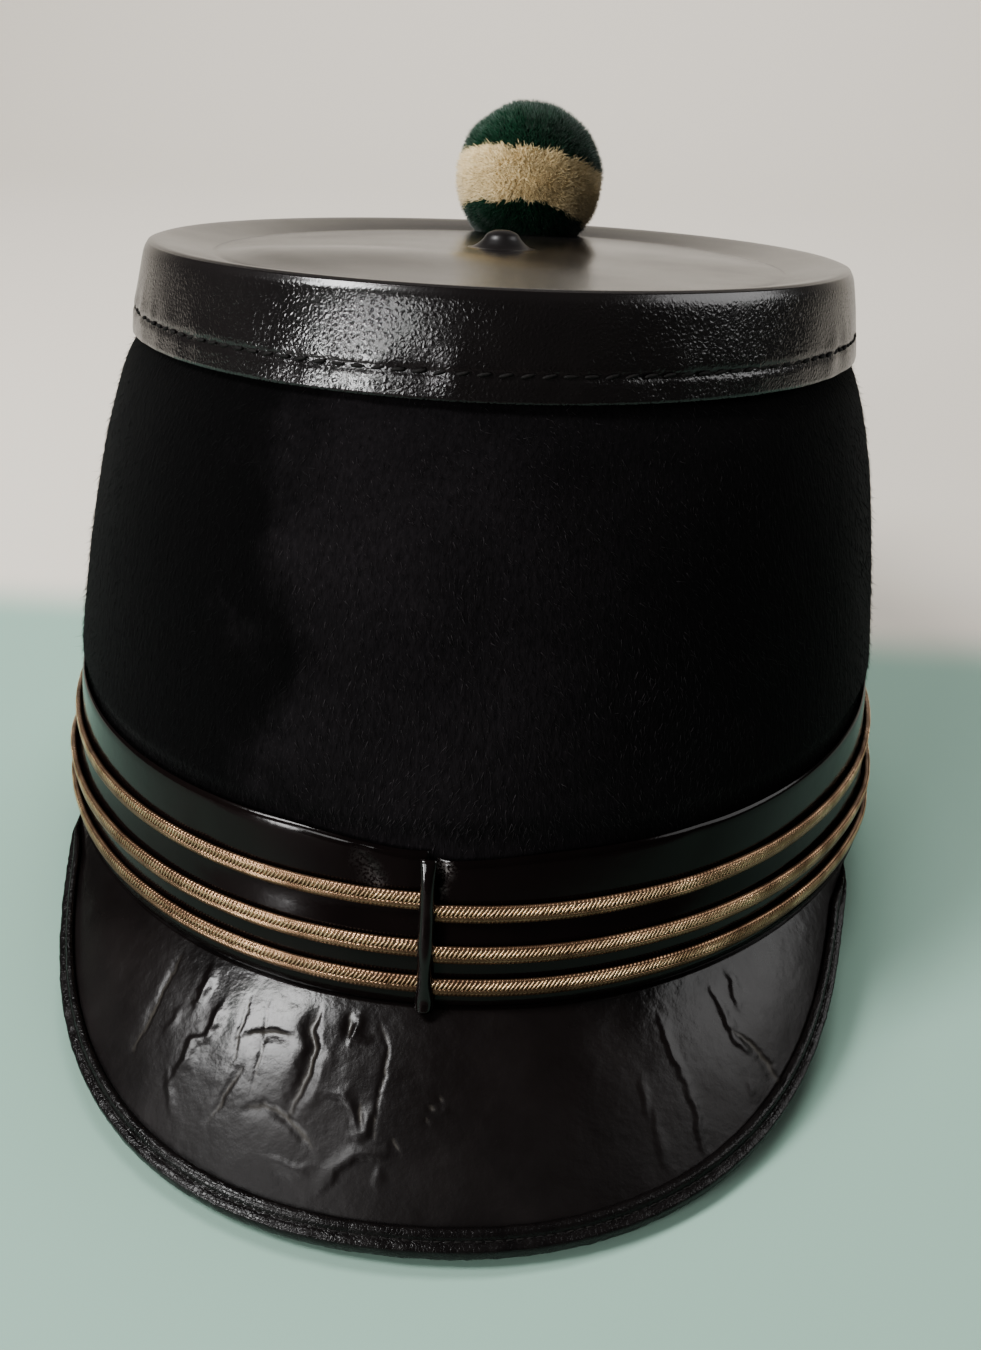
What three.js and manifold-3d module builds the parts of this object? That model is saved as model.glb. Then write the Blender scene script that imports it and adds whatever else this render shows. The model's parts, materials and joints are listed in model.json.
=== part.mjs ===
// A military dress shako: a tapered felt body, a moulded leather crown cap, a patent leather
// base band with three gold braids and a keeper, a bound leather peak and a two-colour wool pompom.
// Millimetres, +Z up. The peak points to -Y. The hat stands on the rear of its rim and the peak's tip.
import * as THREE from 'three';
import { mergeVertices } from 'three/addons/utils/BufferGeometryUtils.js';
import Module from 'manifold-3d';

const wasm = await Module();
wasm.setup();

// Head opening and crown, measured across the hat and from front to back.
const HEAD_WIDTH = 161.4;
const HEAD_DEPTH = 191.4;
const CROWN_WIDTH = 132.8;
const CROWN_DEPTH = 151.6;
const HAT_HEIGHT = 105.5;

// Wall thicknesses, and the gap left between pieces that touch.
const FELT = 2.4;
const CAP_LEATHER = 1.5;
const BAND_LEATHER = 1;
const GAP = 0.3;

// The crown sits a little back and to one side, with its front edge raised.
const LEAN_BACK = 2.4;
const LEAN_SIDE = 1.9;
const CROWN_PITCH = 1.9;
const CROWN_ROLL = 0.5;

// Crown cap: turned-down skirt, sloped ring inside the edge, domed disc and its centre nub.
const SKIRT_DROP = 15.5;
const SKIRT_FLARE = 4.1;
const RING_WIDTH = 11.1;
const RING_DROP = 1.9;
const DISC_RISE = 1.3;
const NUB_RADIUS = 5.5;
const NUB_HEIGHT = 3.5;

// Base band: its end on the wearer's right side of the joint stands a little higher.
const BAND_HEIGHT = 26.2;
const BAND_RISE = 1.9;
const BAND_SEAT = 1.6;
const SEAT_RUN = 4;

// Braids: three, each with two ridges, at heights taken at their low end and their high end.
const BRAID_HEIGHT = 3.2;
const BRAID_DEPTH = 1.1;
const BRAID_ROWS = [
  { name: 'gold_braid_upper', low: 0.635, high: 0.71 },
  { name: 'gold_braid_middle', low: 0.387, high: 0.421 },
  { name: 'gold_braid_lower', low: 0.158, high: 0.173 },
];

// Keeper over the joint of the band, and how far it stands proud from its foot to its head.
const KEEPER_WIDTH = 2.6;
const KEEPER_DEPTH = 1.9;
const KEEPER_ROWS = [
  { up: 0, proud: 1.25 },
  { up: 0.1, proud: 1 },
  { up: 0.35, proud: 0.95 },
  { up: 0.68, proud: 0.95 },
  { up: 0.94, proud: 1 },
  { up: 1, proud: 0.7 },
];

// Peak: width at the middle, slopes at the middle and at the ends, half its spread round the rim,
// and the two powers that shape its outline. The binding runs over a share of that spread.
const PEAK_WIDTH = 37;
const PEAK_LEATHER = 2.2;
const PEAK_SLOPE = 38;
const PEAK_END_SLOPE = 56;
const PEAK_CURL = 7;
const PEAK_SPREAD = 66.6;
const PEAK_FULLNESS = 2.7;
const PEAK_POINT = 1.9;
const FLANGE_LEATHER = 1;
const FLANGE_HEIGHT = 9;
const FLANGE_RUN = 14;
const BINDING_LEATHER = 0.9;
const BINDING_COVER = 3.3;
const BINDING_SPREAD = 0.87;

// Pompom: its seat behind the crown's middle, its body, lean, stripe and wool locks.
const POMPOM_BACK = 61.5;
const POMPOM_SIDE = 2.2;
const POMPOM_RADIUS = 17.1;
const POMPOM_HEIGHT = 29;
const POMPOM_LEAN_BACK = 18;
const POMPOM_LEAN_SIDE = 6;
const STRIPE_HEIGHT = 11;
const STRIPE_LOW = 2.6;
const WAIST_RADIUS = 8;
const LOCK_COUNT = 50;
const LOCK_ROOT = 0.6;
const LOCK_LENGTH = 3;
const LOCK_RADIUS = 4;
const LOCK_TIP = 0.74;
const LOCK_SIDES = 4;
const PIN_RADIUS = 1.1;
const PIN_HEAD_RADIUS = 3;
const PIN_HEAD = 1;

// Facets round the hat, and how many times finer the peak is cut.
const TURN_STEPS = 48;
const PEAK_FINER = 2;

const radians = THREE.MathUtils.degToRad;
const smooth = (value) => THREE.MathUtils.smoothstep(value, 0, 1);

// The felt body from the rim (up 0) to the skirt's lower edge (up 1): how far it has closed in.
const BODY_ROWS = [
  { up: 0, closed: 0 },
  { up: 0.14, closed: 0.03 },
  { up: 0.3, closed: 0.106 },
  { up: 0.44, closed: 0.215 },
  { up: 0.56, closed: 0.309 },
  { up: 0.67, closed: 0.414 },
  { up: 0.78, closed: 0.541 },
  { up: 0.89, closed: 0.712 },
  { up: 0.95, closed: 0.835 },
  { up: 1, closed: 1 },
];

// The cap's outside from the skirt's lower edge to the crown's edge, as shares of flare and drop.
const SKIRT_ROWS = [
  { flare: 1, drop: 1 },
  { flare: 0.82, drop: 0.68 },
  { flare: 0.6, drop: 0.36 },
  { flare: 0.4, drop: 0.12 },
  { flare: 0.2, drop: 0.02 },
];

// The ring inside the edge as shares of its width and drop, the disc as shares of its size and
// rise, and the nub as shares of its radius and height.
const RING_ROWS = [
  { across: 0.08, drop: 0 },
  { across: 0.5, drop: 0.42 },
  { across: 1, drop: 1 },
];
const DISC_ROWS = [{ out: 0.75 }, { out: 0.35 }];
const NUB_ROWS = [
  { out: 1, up: 0 },
  { out: 0.68, up: 0.26 },
  { out: 0.6, up: 0.74 },
  { out: 0.4, up: 0.95 },
];

// One column of a table as a smooth function of another, with each slope taken from its neighbours.
function follow(rows, along, wanted, place) {
  const last = rows.length - 1;
  const index = THREE.MathUtils.clamp(rows.findIndex((row) => row[along] > place) - 1, 0, last - 1);
  const start = place >= rows[last][along] ? last - 1 : index;
  const slope = (at) => {
    const before = rows[Math.max(at - 1, 0)];
    const after = rows[Math.min(at + 1, last)];
    return (after[wanted] - before[wanted]) / (after[along] - before[along]);
  };
  const low = rows[start];
  const high = rows[start + 1];
  const run = high[along] - low[along];
  const t = THREE.MathUtils.clamp((place - low[along]) / run, 0, 1);
  const rise = high[wanted] - low[wanted];
  const bend = (slope(start) * run - rise) * (1 - t) + (rise - slope(start + 1) * run) * t;
  return low[wanted] + t * rise + t * (1 - t) * bend;
}

// Half-widths and half-depths: crown edge, felt under the skirt's lower edge, felt at the rim.
const crownHalf = { across: CROWN_WIDTH / 2, along: CROWN_DEPTH / 2 };
const skirtInset = SKIRT_FLARE - CAP_LEATHER - GAP;
const shoulderHalf = { across: crownHalf.across + skirtInset, along: crownHalf.along + skirtInset };
const rimHalf = {
  across: HEAD_WIDTH / 2 + FELT + BAND_SEAT,
  along: HEAD_DEPTH / 2 + FELT + BAND_SEAT,
};
const shoulderHeight = HAT_HEIGHT - SKIRT_DROP;

// Moves a point of the straight hat to where the leaning crown takes it.
function lean(x, y, z) {
  const share = THREE.MathUtils.clamp((z - BAND_HEIGHT) / (HAT_HEIGHT - BAND_HEIGHT), 0, 1.1);
  const lift = -Math.tan(radians(CROWN_PITCH)) * y - Math.tan(radians(CROWN_ROLL)) * x;
  return new THREE.Vector3(x + LEAN_SIDE * share, y + LEAN_BACK * share, z + lift * share);
}

// A point on an ellipse round the hat: turn 0 is the front, and it grows towards +X.
function onEllipse(turn, across, along, z) {
  return lean(across * Math.sin(turn), -along * Math.cos(turn), z);
}

// The felt's outer surface, pressed in where the band sits and following the skirt's inside above.
function bodyHalf(z) {
  const closed = follow(BODY_ROWS, 'up', 'closed', z / shoulderHeight);
  const pressed = BAND_SEAT * (1 - smooth((z - BAND_HEIGHT - BAND_RISE) / SEAT_RUN));
  const under = z > shoulderHeight ? SKIRT_FLARE * (1 - skirtFlareAt(HAT_HEIGHT - z)) : 0;
  return {
    across: THREE.MathUtils.lerp(rimHalf.across, shoulderHalf.across, closed) - pressed - under,
    along: THREE.MathUtils.lerp(rimHalf.along, shoulderHalf.along, closed) - pressed - under,
  };
}

function skirtFlareAt(below) {
  const upward = [...SKIRT_ROWS].reverse();
  return follow(upward, 'drop', 'flare', below / SKIRT_DROP);
}

// A point beside the felt at height z, so far out from its surface.
function onBody(turn, out, z) {
  const half = bodyHalf(Math.max(z, 0));
  return onEllipse(turn, half.across + out, half.along + out, z);
}

// A closed solid from a section carried past a list of stations. A loop joins its last to its first.
function sweep(stations, sectionAt, place, loop) {
  const sections = stations.map(sectionAt);
  const size = sections[0].length;
  const positions = [];
  stations.forEach((station, row) => {
    for (const [first, second] of sections[row]) {
      positions.push(...place(station, first, second).toArray());
    }
  });
  const indices = [];
  const rows = stations.length;
  for (let row = 0; row < (loop ? rows : rows - 1); row += 1) {
    const next = (row + 1) % rows;
    for (let point = 0; point < size; point += 1) {
      const after = (point + 1) % size;
      const a = row * size + point;
      const b = row * size + after;
      const c = next * size + after;
      const d = next * size + point;
      indices.push(a, b, c, a, c, d);
    }
  }
  if (!loop) {
    closeEnd(indices, sections[0], 0, false);
    closeEnd(indices, sections[rows - 1], (rows - 1) * size, true);
  }
  return outward(fromArrays(positions, indices));
}

// Triangles over one end of a sweep, facing back or on.
function closeEnd(indices, section, offset, onward) {
  const contour = section.map(([first, second]) => new THREE.Vector2(first, second));
  const clockwise = THREE.ShapeUtils.isClockWise(contour);
  for (const [a, b, c] of THREE.ShapeUtils.triangulateShape(contour, [])) {
    const kept = onward === clockwise ? [c, b, a] : [a, b, c];
    indices.push(...kept.map((index) => index + offset));
  }
}

function fromArrays(positions, indices) {
  const geometry = new THREE.BufferGeometry();
  geometry.setAttribute('position', new THREE.Float32BufferAttribute(positions, 3));
  geometry.setIndex(indices);
  return geometry;
}

// Turns every face round when the solid's volume comes out negative.
function outward(geometry) {
  const position = geometry.getAttribute('position');
  const index = geometry.getIndex().array;
  const corner = (at) => new THREE.Vector3().fromBufferAttribute(position, index[at]);
  let volume = 0;
  for (let at = 0; at < index.length; at += 3) {
    volume += corner(at).dot(corner(at + 1).cross(corner(at + 2)));
  }
  if (volume < 0) {
    for (let at = 0; at < index.length; at += 3) {
      [index[at], index[at + 1]] = [index[at + 1], index[at]];
    }
  }
  return geometry;
}

// Between three.js geometry and a solid that can be cut and joined.
function toSolid(geometry) {
  const bare = new THREE.BufferGeometry();
  bare.setAttribute('position', geometry.getAttribute('position').clone());
  if (geometry.getIndex()) {
    bare.setIndex(geometry.getIndex().clone());
  }
  const merged = mergeVertices(bare, 1e-4);
  return new wasm.Manifold(new wasm.Mesh({
    numProp: 3,
    vertProperties: new Float32Array(merged.getAttribute('position').array),
    triVerts: new Uint32Array(merged.getIndex().array),
  }));
}

function fromSolid(solid) {
  const mesh = solid.getMesh();
  return fromArrays(mesh.vertProperties, Array.from(mesh.triVerts));
}

const turns = Array.from({ length: TURN_STEPS }, (unused, step) => (step / TURN_STEPS) * 2 * Math.PI);

// Felt body: one tapered wall, open below and under the cap.
function feltBody() {
  const bandTop = BAND_HEIGHT + BAND_RISE;
  const top = HAT_HEIGHT - CAP_LEATHER - GAP - RING_DROP / 2;
  const lowHeights = [0, BAND_HEIGHT * 0.5, bandTop, bandTop + SEAT_RUN * 0.5, bandTop + SEAT_RUN];
  const shares = [0.45, 0.56, 0.67, 0.78, 0.89, 1];
  const shown = lowHeights.concat(shares.map((share) => share * shoulderHeight));
  const covered = [0.68, 0.36].map((share) => HAT_HEIGHT - SKIRT_DROP * share);
  const outer = [...shown, ...covered, top].map((z) => [0, z]);
  const innerShares = [0.9, 0.72, 0.5];
  const innerHeights = [top, ...innerShares.map((share) => share * shoulderHeight), bandTop + SEAT_RUN];
  const inner = [...innerHeights, bandTop, 0].map((z) => [-FELT, z]);
  return sweep(turns, () => [...outer, ...inner], onBody, true);
}

// Height of the cap's disc above the crown edge's plane, for a share of the way out to the ring.
const discHeight = (share) => HAT_HEIGHT - RING_DROP + DISC_RISE * (1 - share * share);

// Rows of the cap from the skirt's edge to the nub's top: half-width, half-depth and height.
function capRows() {
  const beyond = (out, z) => ({ across: crownHalf.across + out, along: crownHalf.along + out, z });
  const skirt = SKIRT_ROWS.map((row) => (
    beyond(SKIRT_FLARE * row.flare, HAT_HEIGHT - SKIRT_DROP * row.drop)
  ));
  const ring = RING_ROWS.map((row) => beyond(-RING_WIDTH * row.across, HAT_HEIGHT - RING_DROP * row.drop));
  const edge = ring[ring.length - 1];
  const disc = DISC_ROWS.map((row) => ({
    across: THREE.MathUtils.lerp(NUB_RADIUS, edge.across, row.out),
    along: THREE.MathUtils.lerp(NUB_RADIUS, edge.along, row.out),
    z: discHeight(row.out),
  }));
  const nub = NUB_ROWS.map((row) => ({
    across: NUB_RADIUS * row.out,
    along: NUB_RADIUS * row.out,
    z: discHeight(0) + NUB_HEIGHT * row.up,
  }));
  return { skirt, ring, disc, nub };
}

// The cap's leather: the outside rows joined to the same rows set in by the leather's thickness.
function capShell() {
  const { skirt, ring, disc, nub } = capRows();
  const inward = (row) => (
    { across: row.across - CAP_LEATHER, along: row.along - CAP_LEATHER, z: row.z }
  );
  const below = (row) => ({ ...row, z: row.z - CAP_LEATHER });
  const tucked = skirt.slice(0, 4).map(inward);
  const corner = below(ring[0]);
  const under = [ring[1], ring[2], disc[0], nub[0]].map(below);
  return toSolid(domedShell([...skirt, ...ring, ...disc, ...nub], [...tucked, corner, ...under]));
}

// The crown cap with the pin's hole through its disc.
function crownCap() {
  const seat = pompomSeat();
  const hole = new THREE.CylinderGeometry(PIN_RADIUS + GAP, PIN_RADIUS + GAP, 4 * CAP_LEATHER, 16);
  hole.rotateX(Math.PI / 2);
  hole.translate(seat.x, seat.y, seat.z - CAP_LEATHER / 2);
  return fromSolid(capShell().subtract(toSolid(hole)));
}

// A thin dome from outer rows and inner rows, each closed on the axis at its last row.
function domedShell(outerRows, innerRows) {
  const positions = [];
  const indices = [];
  const ringOf = (row) => {
    const first = positions.length / 3;
    turns.forEach((turn) => positions.push(...onEllipse(turn, row.across, row.along, row.z).toArray()));
    return first;
  };
  const wrap = (low, high) => {
    for (let step = 0; step < TURN_STEPS; step += 1) {
      const next = (step + 1) % TURN_STEPS;
      indices.push(low + step, low + next, high + next, low + step, high + next, high + step);
    }
  };
  const outerRings = outerRows.map(ringOf);
  const innerRings = innerRows.map(ringOf);
  const top = positions.length / 3;
  positions.push(...lean(0, 0, discHeight(0) + NUB_HEIGHT).toArray());
  positions.push(...lean(0, 0, discHeight(0) - CAP_LEATHER).toArray());
  const chain = [...innerRings].reverse().concat(outerRings);
  for (let row = 0; row + 1 < chain.length; row += 1) {
    wrap(chain[row], chain[row + 1]);
  }
  const last = chain[chain.length - 1];
  const first = chain[0];
  for (let step = 0; step < TURN_STEPS; step += 1) {
    const next = (step + 1) % TURN_STEPS;
    indices.push(last + step, last + next, top);
    indices.push(first + next, first + step, top + 1);
  }
  return outward(fromArrays(positions, indices));
}

// How much of the flange's thickness lifts the band at a turn and a height.
function flangeLift(turn, z) {
  const fromFront = Math.abs(Math.atan2(Math.sin(turn), Math.cos(turn)));
  const past = (fromFront - radians(PEAK_SPREAD)) / radians(FLANGE_RUN);
  const above = (z - FLANGE_HEIGHT) / FLANGE_HEIGHT;
  return (FLANGE_LEATHER + GAP) * (1 - smooth(past)) * (1 - smooth(above));
}

const bandOutside = (turn, z) => GAP + flangeLift(turn, z) + BAND_LEATHER;

// Turns for a strip that runs once round the hat and stops so far short of the joint at the front.
function stripTurns(clearance) {
  const end = clearance / bodyHalf(BAND_HEIGHT).across;
  return [end, ...turns.slice(1), 2 * Math.PI - end];
}

const wayRound = (turn) => turn / (2 * Math.PI);

// Base band: one strip whose two ends meet under the keeper.
function baseBand() {
  const sectionAt = (turn) => {
    const top = BAND_HEIGHT + BAND_RISE * wayRound(turn);
    const heights = [0, FLANGE_HEIGHT, FLANGE_HEIGHT * 2, top];
    const outer = heights.map((z) => [bandOutside(turn, z), z]);
    const inner = heights.map((z) => [bandOutside(turn, z) - BAND_LEATHER, z]).reverse();
    return [...outer, ...inner];
  };
  return sweep(stripTurns(GAP / 2), sectionAt, onBody, false);
}

// A braid: two rounded ridges with a groove between them, round the band and ending at the keeper.
function goldBraid(row) {
  const half = BRAID_HEIGHT / 2;
  const shape = [
    [0, -0.85], [0.6, -1], [1, -0.55], [0.62, 0], [1, 0.55], [0.6, 1], [0, 0.85],
  ];
  const sectionAt = (turn) => {
    const middle = BAND_HEIGHT * THREE.MathUtils.lerp(row.low, row.high, wayRound(turn));
    return shape.map(([out, up]) => {
      const z = middle + half * up;
      return [bandOutside(turn, z) + GAP + BRAID_DEPTH * out, z];
    });
  };
  return sweep(stripTurns(KEEPER_WIDTH / 2 + GAP), sectionAt, onBody, false);
}

// Keeper: a narrow upright strap over the band's joint, rounded outside and flared at its foot.
function keeper() {
  const half = KEEPER_WIDTH / 2;
  const sectionAt = (row) => {
    const depth = KEEPER_DEPTH * row.proud;
    const side = depth * 0.7;
    return [[-half, 0], [half, 0], [half, side], [half / 2, depth], [-half / 2, depth], [-half, side]];
  };
  const place = (row, across, out) => {
    const z = THREE.MathUtils.lerp(GAP, BAND_HEIGHT - 2 * GAP, row.up);
    const turn = Math.asin(across / bodyHalf(z).across);
    return onBody(turn, bandOutside(turn, z) + GAP + out, z);
  };
  return sweep(KEEPER_ROWS, sectionAt, place, false);
}

// The peak's outline: its width at a turn from the front, and how steeply it falls there.
function peakWidth(turn) {
  const share = Math.min(Math.abs(turn) / radians(PEAK_SPREAD), 1);
  return PEAK_WIDTH * (1 - share ** PEAK_FULLNESS) ** PEAK_POINT;
}

function peakSlope(turn) {
  const share = Math.abs(turn) / radians(PEAK_SPREAD);
  return THREE.MathUtils.lerp(PEAK_SLOPE, PEAK_END_SLOPE, share * share);
}

// The peak's upper surface in a section: a shallow arc from the band's lower edge, falling as it goes.
function peakArc(turn, width, share) {
  const steps = 8;
  let out = 0;
  let down = 0;
  for (let step = 0; step < steps; step += 1) {
    const at = ((step + 0.5) / steps) * share;
    const fall = radians(peakSlope(turn) + PEAK_CURL * (2 * at - 1));
    out += Math.cos(fall) * width * (share / steps);
    down += Math.sin(fall) * width * (share / steps);
  }
  const fall = radians(peakSlope(turn) + PEAK_CURL * (2 * share - 1));
  return { out, down, fall };
}

const peakRoot = GAP + FLANGE_LEATHER + GAP + BAND_LEATHER;

// A point in the peak's section: along the felt to the root, then square to the rim.
function besideRim(turn, out, z) {
  const point = onBody(turn, Math.min(out, peakRoot), z);
  const square = new THREE.Vector3(Math.sin(turn) * rimHalf.along, -Math.cos(turn) * rimHalf.across, 0);
  return point.addScaledVector(square.normalize(), Math.max(out - peakRoot, 0));
}

function peakTurns(limit) {
  const step = (2 * Math.PI) / TURN_STEPS / PEAK_FINER;
  const count = Math.floor(limit / step);
  return Array.from({ length: 2 * count + 1 }, (unused, index) => (index - count) * step);
}

const bareWidth = (turn) => Math.max(peakWidth(turn) - GAP - BINDING_LEATHER, 0);

// Peak: a leather visor whose upturned flange is sewn between the felt and the band.
function peak() {
  const shares = [0, 0.3, 0.65, 1];
  const sectionAt = (turn) => {
    const width = Math.max(bareWidth(turn), GAP);
    const upper = shares.map((share) => {
      const { out, down } = peakArc(turn, width, share);
      return [peakRoot + out, -GAP - down];
    });
    const lower = shares.map((share) => {
      const { out, down, fall } = peakArc(turn, width, share);
      const back = PEAK_LEATHER * Math.sin(fall);
      return [peakRoot + out - back, -GAP - down - PEAK_LEATHER * Math.cos(fall)];
    }).reverse();
    const flangeTop = FLANGE_HEIGHT * (1 - 0.6 * smooth(Math.abs(turn) / radians(PEAK_SPREAD)));
    const start = lower[lower.length - 1];
    const heel = [GAP, (start[1] - GAP) / 2];
    lower[lower.length - 1] = [Math.max(start[0], GAP * 2), start[1]];
    const flange = [[GAP, flangeTop], [GAP + FLANGE_LEATHER, flangeTop], [GAP + FLANGE_LEATHER, -GAP]];
    return [...upper, ...lower, heel, ...flange];
  };
  return sweep(peakTurns(radians(PEAK_SPREAD)), sectionAt, besideRim, false);
}

// Binding: a rolled leather edging that grips the peak's edge, with two ridges on its upper side.
function peakBinding() {
  const sectionAt = (turn) => {
    const width = bareWidth(turn);
    const { out, down, fall } = peakArc(turn, width, 1);
    const cover = Math.min(BINDING_COVER, width * 0.55);
    const slot = PEAK_LEATHER / 2 + GAP;
    const face = slot + BINDING_LEATHER;
    const nose = GAP + BINDING_LEATHER;
    const groove = face - BINDING_LEATHER * 0.3;
    const lip = slot + BINDING_LEATHER * 0.45;
    const shape = [
      [-cover, slot], [GAP, slot], [GAP, -slot], [-cover, -slot],
      [-cover, -face], [0, -face], [nose, -slot * 0.6], [nose, slot * 0.6],
      [GAP / 2, face], [-cover * 0.42, groove], [-cover * 0.75, face], [-cover, lip],
    ];
    const centre = PEAK_LEATHER / 2;
    return shape.map(([onward, up]) => {
      const rise = up - centre;
      return [
        peakRoot + out + onward * Math.cos(fall) + rise * Math.sin(fall),
        -GAP - down - onward * Math.sin(fall) + rise * Math.cos(fall),
      ];
    });
  };
  return sweep(peakTurns(radians(PEAK_SPREAD * BINDING_SPREAD)), sectionAt, besideRim, false);
}

// Where the pompom's axis meets the cap's upper surface.
function pompomSeat() {
  const edge = crownHalf.along - RING_WIDTH;
  return lean(POMPOM_SIDE, POMPOM_BACK, discHeight(POMPOM_BACK / edge));
}

// The pompom's wool as one solid: a ball with trimmed locks, flat where it rests.
function pompomWool() {
  const low = POMPOM_HEIGHT - POMPOM_RADIUS;
  const core = new THREE.IcosahedronGeometry(POMPOM_RADIUS - LOCK_LENGTH * LOCK_ROOT, 3);
  const locks = [toSolid(core)];
  const golden = Math.PI * (3 - Math.sqrt(5));
  const reach = POMPOM_RADIUS * LOCK_ROOT;
  for (let lock = 0; lock < LOCK_COUNT; lock += 1) {
    const height = 1 - (2 * lock + 1) / LOCK_COUNT;
    const side = Math.sqrt(1 - height * height);
    const round = golden * lock;
    const direction = new THREE.Vector3(side * Math.cos(round), side * Math.sin(round), height);
    const length = POMPOM_RADIUS * (1 - 0.05 * ((lock * 7) % 5) / 4) - reach;
    const shape = new THREE.CylinderGeometry(LOCK_RADIUS * LOCK_TIP, LOCK_RADIUS, length, LOCK_SIDES);
    shape.translate(0, reach + length / 2, 0);
    shape.applyQuaternion(new THREE.Quaternion().setFromUnitVectors(new THREE.Vector3(0, 1, 0), direction));
    locks.push(toSolid(shape));
  }
  const floor = new THREE.BoxGeometry(4 * POMPOM_RADIUS, 4 * POMPOM_RADIUS, POMPOM_RADIUS);
  floor.translate(0, 0, -low - POMPOM_RADIUS / 2);
  return wasm.Manifold.union(locks).subtract(toSolid(floor));
}

// A flat ring of the stripe's height, leaning as the pompom leans, grown by a margin.
function stripeRing(inner, margin) {
  const half = STRIPE_HEIGHT / 2 + margin;
  const outer = POMPOM_RADIUS * 1.5;
  const profile = [[inner, -half], [outer, -half], [outer, half], [inner, half], [inner, -half]];
  const ring = new THREE.LatheGeometry(profile.map(([out, up]) => new THREE.Vector2(out, up)), 24);
  ring.rotateX(Math.PI / 2);
  ring.translate(0, 0, -STRIPE_LOW);
  ring.rotateX(-radians(POMPOM_LEAN_BACK));
  ring.rotateY(radians(POMPOM_LEAN_SIDE));
  return toSolid(ring);
}

// The main body of a cut solid, without the clippings that a cut leaves loose.
function largest(solid) {
  const bodies = solid.decompose();
  return bodies.reduce((best, body) => (body.volume() > best.volume() ? body : best));
}

// The wool's two colours, pressed underneath to the form of the cap that carries them.
function pompomPieces() {
  const seat = pompomSeat();
  const centre = [seat.x, seat.y, seat.z + GAP + POMPOM_HEIGHT - POMPOM_RADIUS];
  const cap = capShell().translate(-centre[0], -centre[1], GAP - centre[2]);
  const wool = pompomWool().subtract(cap);
  const bore = new THREE.CylinderGeometry(PIN_RADIUS + GAP, PIN_RADIUS + GAP, 2 * POMPOM_RADIUS, 16);
  bore.rotateX(Math.PI / 2);
  bore.translate(0, 0, -POMPOM_RADIUS);
  const green = largest(wool.subtract(stripeRing(WAIST_RADIUS, 0)).subtract(toSolid(bore)));
  const cream = largest(wool.intersect(stripeRing(WAIST_RADIUS + GAP, -GAP)));
  return {
    green: fromSolid(green).translate(...centre),
    cream: fromSolid(cream).translate(...centre),
  };
}

// Pin: a plain post from inside the pompom through the cap, with a flat head under the leather.
function pompomPin() {
  const seat = pompomSeat();
  const head = -CAP_LEATHER - 2 * GAP;
  const tip = POMPOM_HEIGHT - POMPOM_RADIUS - GAP;
  const profile = [
    [0, head - PIN_HEAD], [PIN_HEAD_RADIUS, head - PIN_HEAD], [PIN_HEAD_RADIUS, head],
    [PIN_RADIUS, head], [PIN_RADIUS, tip], [0, tip],
  ];
  const pin = new THREE.LatheGeometry(profile.map(([out, up]) => new THREE.Vector2(out, up)), 16);
  pin.rotateX(Math.PI / 2);
  return pin.translate(seat.x, seat.y, seat.z);
}

const finishes = {
  felt: { color: 0x16171a, roughness: 0.95, metalness: 0 },
  leather: { color: 0x0f0f10, roughness: 0.5, metalness: 0 },
  patent: { color: 0x0b0c0c, roughness: 0.18, metalness: 0 },
  gold: { color: 0x937a4c, roughness: 0.42, metalness: 0.7 },
  green: { color: 0x11402a, roughness: 1, metalness: 0 },
  cream: { color: 0xcdbb8f, roughness: 1, metalness: 0 },
  steel: { color: 0x8d8f92, roughness: 0.4, metalness: 0.9 },
};

function piece(name, geometry, finish) {
  const mesh = new THREE.Mesh(geometry, new THREE.MeshStandardMaterial(finishes[finish]));
  mesh.name = name;
  return mesh;
}

const wool = pompomPieces();
const binding = peakBinding();
const hat = new THREE.Group();
hat.add(piece('felt_body', feltBody(), 'felt'));
hat.add(piece('crown_cap', crownCap(), 'leather'));
hat.add(piece('base_band', baseBand(), 'patent'));
for (const row of BRAID_ROWS) {
  hat.add(piece(row.name, goldBraid(row), 'gold'));
}
hat.add(piece('keeper', keeper(), 'patent'));
hat.add(piece('peak', peak(), 'patent'));
hat.add(piece('peak_binding', binding, 'leather'));
hat.add(piece('pompom_green', wool.green, 'green'));
hat.add(piece('pompom_cream', wool.cream, 'cream'));
hat.add(piece('pompom_pin', pompomPin(), 'steel'));

// The hat tips back until the lowest part of the peak's binding is level with the rear of the rim.
const rear = onBody(Math.PI, bandOutside(Math.PI, 0), 0).y;
const edges = binding.getAttribute('position');
let pitch = 0;
for (let at = 0; at < edges.count; at += 1) {
  pitch = Math.max(pitch, Math.atan2(-edges.getZ(at), rear - edges.getY(at)));
}
hat.rotation.x = -pitch;

// The origin lies under the middle of the whole hat, on the surface that it stands on.
const shako = new THREE.Group();
shako.add(hat);
shako.updateMatrixWorld(true);
const box = new THREE.Box3().setFromObject(hat, true);
const middle = box.getCenter(new THREE.Vector3());
hat.position.set(-middle.x, -middle.y, -box.min.z);

export default shako;
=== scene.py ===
# %% [markdown]
# # A dress shako
# A shako is a stiff military hat. This one is a tapered felt body with a moulded leather crown cap,
# a patent leather band that carries three gold braids, a bound leather peak and a wool pompom.
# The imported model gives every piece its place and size. Each cell below dresses one piece.

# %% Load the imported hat
import json
import math

import bpy
import numpy as np
from mathutils import Matrix, Vector, noise


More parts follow.
